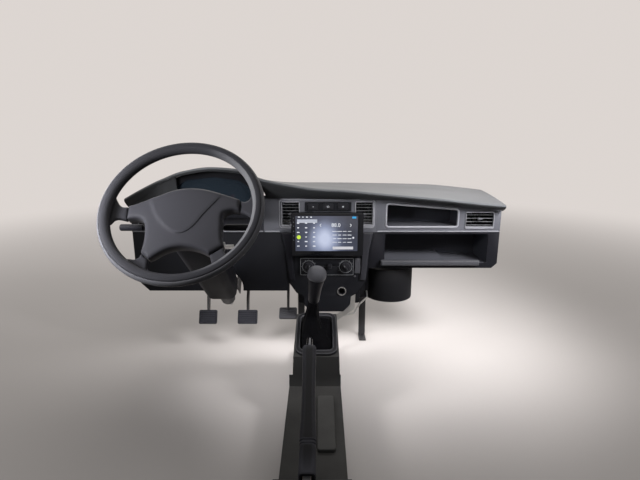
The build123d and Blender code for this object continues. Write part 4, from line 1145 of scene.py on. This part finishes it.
def writing(text, size, x, y, z):
    # plain figures standing in the XZ plane, facing back
    curve = bpy.data.curves.new("figures", "FONT")
    curve.body, curve.size, curve.extrude = text, size * mm, 0.000125
    curve.align_x, curve.align_y, curve.resolution_u = "CENTER", "CENTER", 3
    holder = bpy.data.objects.new("figures", curve)
    bpy.context.scene.collection.objects.link(holder)
    mesh = evaluated(holder)
    bpy.data.objects.remove(holder)
    mesh.transform(Matrix.Rotation(math.radians(90), 4, "X"))
    return moved(mesh, x, y, z)


def makeCluster():
    c = cluster
    softened("cluster_bezel", 1.5, 3)
    softened("cluster_housing", 0.8)
    softened("cluster_dials", 0.4)
    softened("cluster_lens", 0.6)
    pale = glowing("dialPrint", (0.30, 0.31, 0.33), 0.10)
    sweep = math.radians(c["sweep"])
    ticks = ticksRepeater(pale)
    meshes = []
    for (x, z), step in zip(c["dials"], c["figureSteps"]):
        scale = ticks.make("ticks", {"Sweep": sweep, "Count": c["ticks"], "Radius": c["scaleRadius"] * mm})
        meshes.append(moved(scale, x, c["dialY"], z))
        for i in range(c["figures"]):
            a = sweep * (i / (c["figures"] - 1) - 0.5)
            meshes.append(writing(str(i * step), c["textSize"], x + c["figureRadius"] * math.sin(a), c["dialY"],
                                  z + c["figureRadius"] * math.cos(a)))
    lay("dialPrint", joined("dialPrint", meshes), "body", "dial_face", finish=pale)
    red = glowing("dialPointer", (0.45, 0.05, 0.03), 0.08)
    ahead = Vector((math.sin(-sweep / 2), 0, math.cos(-sweep / 2)))
    side = Vector((math.cos(-sweep / 2), 0, -math.sin(-sweep / 2)))
    hands = []
    for x, z in c["dials"]:
        rows = []
        for way, (reach, half) in ((-1, c["handBack"]), (1, c["handAhead"])):
            end = Vector((x, c["handY"], z)) + ahead * way * reach
            rows.append([end + side * a * half + Vector((0, b, 0)) for a, b in ((1, 0), (-1, 0), (-1, 1), (1, 1))])
        hands.append(loops("hand", rows))
        hands.append(lathed("cap", [(0, 7), (3.5, 7), (4.6, 6), (5, 3)], standing((x, c["capY"], z), (0, -1, 0)), 28))
    lay("dialHands", joined("dialHands", hands), "body", "dial_face", finish=red)
    print("cluster done")


# switch panel and its three rockers, each with a small pale mark
switches = {"rockers": [-9, 39, 87], "middleZ": 96.5, "rocker": (34, 19), "mark": 3.8}


def makeSwitches():
    y0, z, m = dash["fasciaY"], switches["middleZ"], switches["mark"]
    softened("switch_panel", 0.9)
    profile = [(0.4, y0 - 0.4), (0.4, y0 - 4), (0.9, y0 - 5), (2, y0 - 5.6), (5, y0 - 5.2), (8, y0 - 4.6)]
    rockers, marks = [], []
    for number, x in enumerate(switches["rockers"]):
        rockers.append(ringed("rocker", rectangle(x, z, *switches["rocker"]), 2, profile))
        spot = standing((x, y0 - 4.4, z), (0, -1, 0))
        if number == 1:
            marks.append(lathed("mark", [(0, m), (0.5, m), (0.5, m * 0.6), (0, m * 0.6)], spot, 20, True))
        else:
            marks.append(lathed("mark", [(0, m * 0.7), (0.5, m * 0.7), (0.6, m * 0.3)], spot, (3, 12)[number == 2]))
    lay("rockers", joined("rockers", rockers), "body", "button_plastic", "rocker_switches", 40)
    lay("rockerMarks", joined("rockerMarks", marks), "body", "button_plastic",
        finish=glowing("markPrint", (0.60, 0.61, 0.64), 0.45))
    print("switches done")


# head unit: gloss housing, lit picture, small plain marks
headUnit = {
    "housing": (36.5, 8.5, 232, 144), "corner": 6, "faceY": -250, "lit": (-66, -45, 134, 70),
    "markY": -250.75, "rows": 6, "columns": 3, "rowPitch": 15.1, "columnPitch": 25.5, "firstMark": (-57, -28.5),
    # an arrow's stroke: across, forward and up from its point; each arrow's place and the way it points
    "stroke": [[(-2, -0.1, 0.4), (-2, 0.1, 0.4), (-0.6, 0.1, -0.2), (-0.6, -0.1, -0.2)],
               [(2, -0.1, 5), (2, 0.1, 5), (3.4, 0.1, 4.4), (3.4, -0.1, 4.4)]],
    "arrows": [(14, 1), (112, -1)], "figures": ("88.0", 17, 64), "figuresZ": 40,
    "keyX": -71.5, "keys": (63, 50, 37, 20, 5, -9),
    # flat bars in their own colours: colour, x, forward, z, width, height
    "bars": {"screenBar": ((0.36, 0.38, 0.44), -28, 0.1, 53.5, 64, 11),
             "screenBand": ((0.50, 0.50, 0.53), 87, 0.1, -35, 66, 9),
             "screenBlue": ((0.03, 0.28, 0.55), 122, 0, 65, 13, 6)},
}


def screenPicture():
    # navy at the sides, a pale blue glow in the middle, darker towards the top right
    f = Finish("screenPicture")
    x = f.add("ShaderNodeSeparateXYZ", {}, {0: f.place}, out="X")
    z = x.out("Z")
    cloud = f.noise(14, 4, 0.6)
    left, low = (x - 0.030) / 0.046, (z + 0.004) / 0.050
    glow = (0 - (left * left + low * low)).calc("EXPONENT", 0 - (left * left + low * low))
    wide = (x - 0.0) / 0.085
    haze = (0 - wide * wide).calc("EXPONENT", 0 - wide * wide)
    floor = ((0.012 - z) * 12).low(1).high(0)
    level = (glow * 0.95 + haze * 0.10 + floor * 0.12 + (cloud - 0.5) * 0.25).low(1).high(0)
    picture = f.add("ShaderNodeValToRGB", {"stops": [(0.0, (0.020, 0.025, 0.042)), (0.3, (0.08, 0.095, 0.15)),
                                                     (0.7, (0.36, 0.41, 0.58)), (1.0, (0.66, 0.72, 0.92))]},
                    {0: level})
    return f.shade(colour=(0.01, 0.01, 0.012), rough=0.16, glow=picture, glowPower=0.85, coat=0.6)


def marksRepeater(material):
    r = Repeater("markGrid", {"Columns": 3, "Rows": 6, "Wide": 0.05, "High": 0.08,
                              "Mark": Vector((0.006, 0.0004, 0.003)), "Place": Vector((0, 0, 0)),
                              "Material": material})
    grid = r.add("GeometryNodeMeshGrid", {}, {0: r.given("Wide"), 1: r.given("High"), 2: r.given("Columns"),
                                              3: r.given("Rows")})
    standUp = r.add("GeometryNodeTransform", {}, {0: grid, "Rotation": (math.radians(90), 0, 0),
                                                  "Translation": r.given("Place")})
    mark = r.add("GeometryNodeMeshCube", {}, {"Size": r.given("Mark")})
    jitter = r.add("FunctionNodeRandomValue", {"data_type": "FLOAT_VECTOR"},
                   {0: (0.7, 1, 0.8), 1: (1.15, 1, 1.1), "Seed": 4})
    return r.ends(r.add("GeometryNodeInstanceOnPoints", {},
                        {"Points": standUp, "Instance": mark, "Scale": jitter}))


def block(x, y, z, wide, deep, high):
    w, d, h = wide / 2, deep / 2, high / 2
    corners = [(x - w, z - h), (x + w, z - h), (x + w, z + h), (x - w, z + h)]
    return loops("block", [[(a, yy, b) for a, b in corners] for yy in (y - d, y + d)])


def makeHeadUnit():
    u = headUnit
    x, z, wide, high = u["housing"]
    y0 = u["faceY"]
    profile = [(3, -233), (0.8, -233), (0, -234), (0, y0 + 3), (0.5, y0 + 1.2), (1.6, y0 + 0.3), (3.2, y0),
               (9, y0), (10, y0 + 0.1)]
    lay("screenHousing", ringed("screenHousing", rectangle(x, z, wide, high), u["corner"], profile, steps=7), "body",
        "screen_gloss", "head_unit_screen", 40)
    x0, z0, x1, z1 = u["lit"]
    picture = ringed("picture", [(x0, z0), (x1, z0), (x1, z1), (x0, z1)], 1.2,
                     [(0, y0 + 0.2), (0, y0 - 0.35), (0.3, y0 - 0.45)])
    lay("screenPicture", picture, "body", "screen_gloss", finish=screenPicture())
    pale = glowing("screenMarks", (0.62, 0.64, 0.68), 0.9)
    marks = marksRepeater(pale)
    y, (fx, fz) = u["markY"], u["firstMark"]
    wideAll, highAll = (u["columns"] - 1) * u["columnPitch"], (u["rows"] - 1) * u["rowPitch"]
    # columns, rows, their reach, a mark's size, and the middle of the group
    meshes = [marks.make("marks", {"Columns": columns, "Rows": rows, "Wide": across * mm, "High": up * mm,
                                   "Mark": Vector((long, 0.3, tall)) * mm, "Place": Vector((mx, y, mz)) * mm})
              for columns, rows, across, up, long, tall, mx, mz in (
                  (u["columns"], u["rows"], wideAll, highAll, 7.5, 3.4, fx + wideAll / 2, fz + highAll / 2),
                  (4, 1, 39, 0.0, 5, 3.6, -35, 66.5), (4, 4, 48, 36, 13, 1.8, 84, 2))]
    text, size, middle = u["figures"]
    meshes.append(writing(text, size, middle, y, u["figuresZ"]))
    for ax, way in u["arrows"]:
        for tilt in (1, -1):
            meshes.append(loops("stroke", [[(ax + way * a, y + b, u["figuresZ"] + tilt * c) for a, b, c in row]
                                           for row in u["stroke"]]))
    meshes.append(lathed("dot", [(0, 3), (0.3, 3), (0.3, 0.2)], standing((120, y, -1), (0, -1, 0)), 20))
    lay("screenMarks", joined("screenMarks", meshes), "body", "screen_gloss", smooth=0, finish=pale)
    shapes = {name: (colour, block(bx, y + forward, bz, long, 0.3, tall))
              for name, (colour, bx, forward, bz, long, tall) in u["bars"].items()}
    shapes["screenGreen"] = ((0.50, 0.68, 0.06), lathed("dot", [(0, 6.5), (0.5, 6.5), (0.5, 0.3)],
                                                        standing((-55, y, 1), (0, -1, 0)), 28))
    for name, (colour, mesh) in shapes.items():
        lay(name, joined(name, [mesh]), "body", "screen_gloss", smooth=0, finish=glowing(name, colour, 0.9))
    keys = [lathed("key", [(0, 1.5), (0.3, 1.5), (0.3, 0.3)], standing((u["keyX"], y0, kz), (0, -1, 0)), 12)
            for kz in u["keys"]]
    lay("screenKeys", joined("screenKeys", keys), "body", "screen_gloss",
        finish=glowing("screenKeys", (0.10, 0.11, 0.12), 0.3))
    softened("head_unit_box", 0.8)
    print("head unit done")


# heater panel: thin outline, two knobs with pale rings and scales, a slider
heater = {
    "panel": (36, -104, 178, 60), "faceY": -231, "knobZ": -104, "ringRadius": 19, "knobRadius": 15,
    # each knob's x and the angle it is turned to
    "knobs": [(-24, -20), (98, 35)],
    # grip's half width and length, and its pointer's
    "grip": (2.6, 12.5), "pointer": (0.7, 5, 11), "printedRing": (41.5, 20.7), "slider": (45, 3.5, 14, 13),
}


def makeHeater():
    h = heater
    y0 = h["faceY"]
    x, z, wide, high = h["panel"]
    softened("heater_panel", 1.0)
    outline = ringed("outline", rectangle(x, z, wide - 3, high - 3), 3,
                     [(-0.5, y0 + 0.3), (-0.4, y0 - 0.35), (0.4, y0 - 0.35), (0.5, y0 + 0.3)], closed=True)
    printed = [outline]
    ticks = ticksRepeater(finishes["button_plastic"])
    knobs = []
    ring, r, kz = h["ringRadius"], h["knobRadius"], h["knobZ"]
    gripWide, gripLong = h["grip"]
    lineWide, lineFrom, lineTo = h["pointer"]
    for kx, angle in h["knobs"]:
        place = standing((kx, y0, kz), (0, -1, 0))
        knobs.append(lathed("knob", [(-3, 10), (0, ring), (2.6, ring), (3.6, ring - 1), (4, r + 0.6), (4.2, r),
                                     (13.6, r - 1), (15.4, r - 2), (16, r - 4), (16, 0.5)], place, 56))
        middle, turned = Vector((kx, kz)), Matrix.Rotation(math.radians(angle), 2)
        grip, line = ([middle + turned @ Vector(p) for p in corners] for corners in (
            ((gripWide, -gripLong), (gripWide, gripLong), (-gripWide, gripLong), (-gripWide, -gripLong)),
            ((lineWide, lineFrom), (lineWide, lineTo), (-lineWide, lineTo), (-lineWide, lineFrom))))
        knobs.append(ringed("grip", grip, 2.4, [(0, y0 - 12), (0, y0 - 19.5), (0.5, y0 - 20.6), (1.4, y0 - 21)]))
        printed.append(ringed("pointer", line, 0.4, [(0, y0 - 20.5), (0, y0 - 21.3)]))
        size, corner = h["printedRing"]
        printed.append(ringed("ring", rectangle(kx, kz, size, size), corner,
                              [(-0.5, y0 + 0.2), (-0.5, y0 - 0.4), (0.5, y0 - 0.4), (0.5, y0 + 0.2)],
                              closed=True, steps=12))
        scale = ticks.make("scale", {"Count": 9, "Radius": 0.0243, "Sweep": math.radians(240), "Long": 0.0022,
                                     "Wide": 0.001})
        printed.append(moved(scale, kx, y0 - 0.1, kz))
    sx, above, sw, sh = h["slider"]
    knobs.append(ringed("slider", rectangle(sx, kz + above, sw, sh), 2,
                        [(3, y0 + 2.5), (3, y0 - 2), (0, y0 - 2.6), (0, y0 - 10), (1, y0 - 11.6), (3, y0 - 12)]))
    lay("heaterKnobs", joined("heaterKnobs", knobs), "body", "button_plastic", "heater_controls", 40)
    lay("heaterPrint", joined("heaterPrint", printed), "body", "button_plastic", smooth=0,
        finish=glowing("heaterPrint", (0.40, 0.41, 0.43), 0.22))
    print("heater panel done")


# twelve volt socket: shell and plated ring
socket = {"place": (86, -191), "rim": 17, "bore": 10.5}


def makeSocket():
    x, z = socket["place"]
    place = standing((x, dash["fasciaY"], z), (0, -1, 0))
    rim, bore = socket["rim"], socket["bore"]
    profile = [(-41, 13.8), (0, 13.8), (0, rim), (1.6, rim), (2.8, rim - 1), (3, rim - 2.6), (2.6, bore + 1.4),
               (1.4, bore + 0.2), (0, bore), (-36, bore), (-36, 2.4), (-22, 2.2), (-20, 1.2)]
    lay("socketShell", lathed("socketShell", profile, place, 56), "body", "button_plastic", "power_socket", 40)
    ring = lathed("ring", [(3.3, 12.6), (3.6, 13.0), (3.6, 14.2), (3.3, 14.6), (2.6, 14.6), (2.6, 12.6)], place, 56,
                  hollow=True)
    lay("socketRing", ring, "body", "plated_steel")
    print("socket done")


# gear lever: folded leather gaiter, sleeve and mushroom knob
gear = {
    "foot": (-18, -462, -240), "top": (7, -524, -18), "planeMiddle": (3, -470, -232.5), "slope": 0.26111,
    "around": 96, "leather": 1.2,
    # distance from the foot and radius
    "knob": [(121, 9), (121.6, 12), (123, 13.4), (126, 15), (156, 17), (176, 19.2), (190, 21.4), (199, 22.4),
             (200.2, 22.2), (201, 22.6), (202, 24.6), (205, 25.5), (210, 25.7), (216, 25.2), (221, 23.6), (225, 21),
             (228, 17.5), (230.3, 12.5), (231.6, 6.5), (232, 0.4)],
    # height over the opening, shift to the left and to the rear, width, length, corner, fold depth
    "folds": [(-1.5, 0, 0, 85.4, 145.4, 15.6, 0), (4, 0, 0, 83, 141, 18, 0.3), (12, 2, 1, 75, 126, 22, 1.6),
              (17, 4, 2, 69, 112, 24, 2.4), (21, 6, 3, 70, 106, 25, 2.0), (27, 9, 5, 58, 86, 23, 3.0),
              (33, 12, 6, 49, 70, 22, 3.0), (38, 13, 7, 49, 66, 22, 2.4)],
    # distance along the lever, radius, fold depth
    "sleeve": [(72, 20.5, 2.4), (86, 17.6, 2.0), (98, 16.8, 2.2), (108, 14.6, 1.6), (116, 14.2, 1.2),
               (121.4, 12.6, 0.3)],
    # frame, its inner bead and its outer one: width, length, corner, height
    "frame": [(116, 180, 26, 0.3), (116, 180, 26, 4.6), (115, 179, 25.5, 6.6), (112.6, 176.6, 24.3, 7.8),
              (109, 173, 22.5, 8.2), (95, 159, 18, 8.2), (92, 152, 15, 7.6), (88.4, 148.4, 13.8, 4.6),
              (86.8, 146.8, 13.4, 0.3)],
    "beads": [[(95.6, 157.6, 17.6, 7.9), (94.8, 156.4, 17.2, 9.2), (93, 153.6, 16, 9.5), (91, 150.6, 14.6, 8.6),
               (90.4, 150, 14.4, 7)],
              [(114.6, 178.6, 25.4, 6.2), (113.6, 177.6, 24.8, 7.8), (112, 176, 24, 8.3), (110.6, 174.6, 23.2, 8)]],
}


def gearPlane():
    x, n = Vector((1, 0, 0)), Vector((0, -gear["slope"], 1)).normalized()
    return axes(x, n.cross(x), n, gear["planeMiddle"])


def ringOf(wide, high, corner, count):
    # a rounded rectangle as a fixed number of points, from the right, counter-clockwise
    outline = roundedCorners([(wide / 2, -high / 2), (wide / 2, high / 2), (-wide / 2, high / 2),
                              (-wide / 2, -high / 2)], min(corner, wide / 2 - 0.2, high / 2 - 0.2), 8)
    closed = [Vector((*p, 0)) for p in outline + outline[:1]]
    step = sum((b - a).length for a, b in zip(closed, closed[1:])) / count
    return [p.xy for p in evenly(closed, step)[:count]]


def makeSurround(plane):
    # rounded frame with a raised bead round its opening and a narrow one on its outer edge; the beads are paler, a
    # painted highlight
    def band(name, profile):
        rows = [[plane @ Vector((p.x, p.y, height)) for p in ringOf(wide, long, corner, 120)]
                for wide, long, corner, height in profile]
        return loops(name, rows + rows[:1], False, False)

    lay("gearSurroundFrame", band("surround", gear["frame"]), "body", "surround_plastic", "gear_surround", 50)
    beads = [band("bead", profile) for profile in gear["beads"]]
    lay("gearSurroundBeads", joined("surroundBeads", beads), "body", "surround_plastic", smooth=50, finish=crestPlastic)


def makeGear():
    g = gear
    foot, top = Vector(g["foot"]), Vector(g["top"])
    lever = standing(foot, top - foot, (0, 1, 0))
    split = next(i for i, (d, r) in enumerate(g["knob"]) if d > 200)
    lay("gearKnobSmooth", lathed("knob", g["knob"][:split + 1], lever, 64), "body", "knob_plastic", "gear_knob", 50)
    # the knob's top is paler, a painted highlight of the light from above
    lay("gearKnobCap", lathed("cap", [(g["knob"][split][0] - 0.3, 12)] + g["knob"][split:], lever, 64), "body",
        "knob_plastic", smooth=50, finish=capHighlightPlastic)
    plane = gearPlane()
    rows = []
    for height, aside, shift, wide, long, corner, fold in g["folds"]:
        row = []
        for i, p in enumerate(ringOf(wide, long, corner, g["around"])):
            a = 2 * math.pi * i / g["around"]
            pleat = fold * (math.sin(4 * a + 0.7) * 0.6 + math.sin(7 * a + height) * 0.5
                            + math.sin(11 * a + 2.0) * 0.3)
            q = p * (1 + pleat / max(20, p.length))
            row.append(plane @ Vector((q.x - aside, q.y - shift, height + fold * 0.5 * math.sin(5 * a + height))))
        rows.append(row)
    for d, r, fold in g["sleeve"]:
        row = []
        for i in range(g["around"]):
            a = 2 * math.pi * i / g["around"]
            rr = r + fold * (math.sin(5 * a + d) * 0.5 + math.sin(8 * a + 1.3) * 0.4)
            row.append(lever @ Vector((-rr * math.cos(a), -rr * math.sin(a), d)))
        # start the ring at the same side as the ones below
        first = min(range(len(row)), key=lambda k: (row[k] - rows[-1][0]).length)
        row = row[first:] + row[:first]
        if (row[4] - rows[-1][4]).length > (row[-4] - rows[-1][4]).length:
            row = [row[0]] + row[:0:-1]
        rows.append(row)
    skin = loops("gaiter", rows, False, False)
    piece = lay("gearGaiterSkin", skin, "body", "gaiter_leather", "gear_gaiter", 0)
    wall = piece.modifiers.new("leather", "SOLIDIFY")
    wall.thickness, wall.offset = g["leather"] * mm, -1
    finer = piece.modifiers.new("finer", "SUBSURF")
    finer.levels = finer.render_levels = 1
    applied(piece)
    piece.data.shade_smooth()
    makeSurround(plane)
    print("gear lever done")


# handbrake: rubber grip with two rings, button at its end
handbrake = {
    "pivot": (-8.5, -1069, -235), "angle": 13.6, "wide": 30.4, "high": 28, "drift": 2.6, "corner": 7.5, "around": 64,
    # distance from the pivot, how much wider, how much higher again
    "grip": [(40.2, -5, 0), (40.2, -1.4, 0), (42, -0.4, 0), (97, -0.4, 0), (98, -1.8, 0), (99.5, -1.8, 0),
             (100.5, -0.2, 0), (103.5, -0.2, 0), (104.5, -2.0, 0), (106.5, -2.0, 0), (107.5, 0, 0), (120, 0.2, 0),
             (150, -1.0, -0.5), (200, -1.6, -1), (255, -1.4, -1), (310, -0.6, -0.5), (340, 0, 0), (354, 0, 0),
             (358.5, -1.2, 0), (360, -3.4, 0), (360, -7.4, 0)],
    # distance from the grip's end, radius
    "button": [(0, 7), (29.5, 7), (32, 6.3), (33.6, 4.6), (34.5, 2.5), (34.5, 0.3)],
}


def makeHandbrake():
    h = handbrake
    a = math.radians(h["angle"])
    out, up = Vector((0, math.cos(a), math.sin(a))), Vector((0, -math.sin(a), math.cos(a)))
    o = Vector(h["pivot"])
    rows = []
    for d, grow, tall in h["grip"]:
        ring = ringOf(h["wide"] + grow * 2, h["high"] + (grow + tall) * 2, h["corner"], h["around"])
        rows.append([o + out * d + Vector((1, 0, 0)) * (p.x - h["drift"] * max(0, d - 100) / 260)
                     + up * (p.y * (0.94 if p.y > 0 else 1)) for p in ring])
    lay("handbrakeGripSkin", loops("grip", rows), "handbrake", "grip_rubber", "handbrake_grip", 50)
    tip = standing(o + out * (h["grip"][-1][0] - 0.5) - Vector((h["drift"], 0, 0)), out)
    lay("handbrakeButtonCap", lathed("button", h["button"], tip, 40), "handbrake", "button_chrome",
        "handbrake_button", 50)
    softened("handbrake_lever", 0.8)
    softened("handbrake_bracket", 0.5)
    print("handbrake done")


# pedals: ribbed rubber covers on steel pads
pedals = {
    # body, x, pad width, pad height, pad middle y, pad middle z, lean
    "table": [("clutch", -378, 60, 46, -190, -300, 25), ("brake", -240, 66, 46, -190, -300, 25),
              ("accelerator", -100, 60, 42, -168, -296, 55)],
    "ribs": 6,
    # cover from its back to its front: drawn in from the pad's outline, forward
    "cover": [(3, 3.3), (-0.8, 3.3), (-1.4, -3.6), (-0.8, -5.6), (1.2, -6.6), (4, -6.8)],
}


def makePedals():
    slats = ventRepeater(finishes["grip_rubber"])
    for body, x, wide, high, y, z, lean in pedals["table"]:
        softened("pedal_" + body, 0.8)
        leant = Matrix.Rotation(math.radians(-lean), 4, "X")
        place = Matrix.Translation((x, y, z)) @ leant
        rows = []
        for drawnIn, depth in pedals["cover"]:
            ring = roundedCorners(inset(rectangle(0, 0, wide, high), drawnIn), 5, 5)
            rows.append([place @ Vector((p.x, depth, p.y)) for p in ring])
        meshes = [loops("cover", rows)]
        ribs = slats.make("ribs", {"Count": pedals["ribs"], "Pitch": (high - 10) / (pedals["ribs"] - 1) * mm,
                                   "Length": (wide - 10) * mm, "Deep": 0.003, "Thick": 0.0022,
                                   "Start": Vector((0, -7, -(high - 10) / 2)) * mm})
        ribs.transform(Matrix.Translation((x * mm, y * mm, z * mm)) @ leant)
        meshes.append(ribs)
        lay(body + "Cover", joined(body + "Cover", meshes), body, "grip_rubber", smooth=40,
            finish=crestPlastic if body == "accelerator" else None)
    print("pedals done")


# panels and hardware whose solids already have the right form: rounding in mm, its segments, a finish of its own
plain = {
    "end_caps": (1, 2), "centre_stack": (1.4, 3), "stack_trims": (0.6, 2, trimAndShadePlastic), "knee_panel": (1.4, 3),
    "passenger_face": (1.4, 3, shroudPlastic), "glove_tray": (1.2, 3, hollowPlastic),
    "tray_lip": (1.6, 3, crestPlastic), "heater_case": (2.5, 3), "blower": (2.0, 3), "air_ducts": (2.0, 3),
    "column_bracket": (0.6, 2), "pedal_bracket": (0.6, 2), "end_bracket_left": (0.7, 2),
    "end_bracket_right": (0.7, 2), "centre_stays": (0.6, 2), "stalk_switch": (1.0, 2, shroudPlastic),
    "shroud_upper": (1.2, 2, shroudPlastic), "shroud_lower": (1.2, 2, shroudPlastic), "ignition_lock": (0.6, 2),
    "stalk_lights": (0.8, 2, shroudPlastic), "stalk_wipers": (0.8, 2, shroudPlastic),
    "console": (4.0, 3, consolePlastic), "console_lid": (1.2, 3, lidPlastic),
}


def makePlain():
    made = {node: softened(node, *how) for node, how in plain.items()}
    # the left trim lies in the shade of the column
    trims = made["stack_trims"].data
    trims.materials.append(shroudPlastic)
    for face in trims.polygons:
        face.material_index = int(face.center.x < dash["stackX"] * mm)
    y0 = dash["fasciaY"]
    strip = ringed("strip", rectangle(137.5, -102.5, 19, 50), 2,
                   [(0, y0 + 0.6), (0, y0 - 2.6), (0.8, y0 - 3.6), (3, y0 - 3.8)])
    clip = lathed("clip", [(-1, 3.6), (2.2, 3.6), (3.2, 2.8), (3.4, 0.4)], standing((129, y0, -138), (0, -1, 0)), 20)
    lay("stackStrip", joined("stackStrip", [strip, clip]), "body", "dark_plastic", smooth=40, finish=crestPlastic)
    print("plain panels done")


def dressSolids():
    for name, node in nodes.items():
        if node.hide_render:
            continue
        node.data.materials.clear()
        node.data.materials.append(finishes[slotOf[name]])


def makeFloor():
    half = studio["floorSize"] / 2
    low = cadBox[0][2] - 0.0005
    mesh = meshOf("floor", [(-half, -half, low), (half, -half, low), (half, half, low), (-half, half, low)],
                  [(0, 1, 2, 3)])
    floor = bpy.data.objects.new("floor", mesh)
    bpy.context.scene.collection.objects.link(floor)
    f = Finish("floorPaint")
    # pale with the object's shadow near it, the backdrop's colour far off, and dim for the light that it throws up
    away = f.add("ShaderNodeVectorMath", {"operation": "LENGTH"}, {0: f.place}, out="Value")
    fade = ((away - studio["fadeFrom"]) / (studio["fadeTo"] - studio["fadeFrom"])).high(0).low(1)
    fade = fade * fade * (3 - 2 * fade)
    speck = f.noise(90, 4)
    near = f.add("ShaderNodeBsdfDiffuse", {}, {"Color": f.mix(speck, tint(studio["floor"], 0.985), studio["floor"])})
    far = f.add("ShaderNodeEmission", {}, {"Color": (*studio["backdrop"], 1)})
    shown = f.add("ShaderNodeMixShader", {}, {0: fade, 1: near, 2: far})
    dim = f.add("ShaderNodeBsdfDiffuse", {}, {"Color": (*studio["floorShade"], 1)})
    path = f.add("ShaderNodeLightPath")
    seen = path.out("Is Camera Ray").high(path.out("Is Transmission Ray")).high(path.out("Is Glossy Ray"))
    both = f.add("ShaderNodeMixShader", {}, {0: seen, 1: dim, 2: shown})
    f.tree.links.new(both.socket, f.tree.nodes.new("ShaderNodeOutputMaterial").inputs[0])
    mesh.materials.append(f.material)


for stage in (setStudio, makeFloor, makeTopPad, makeCheeks, makeJoints, makeFascia, makePocket, makeVents, makeCluster,
              makeSwitches, makeHeadUnit, makeHeater, makeSocket, makeWheel, makeGear, makeHandbrake, makePedals,
              makePlain, dressSolids):
    stage()
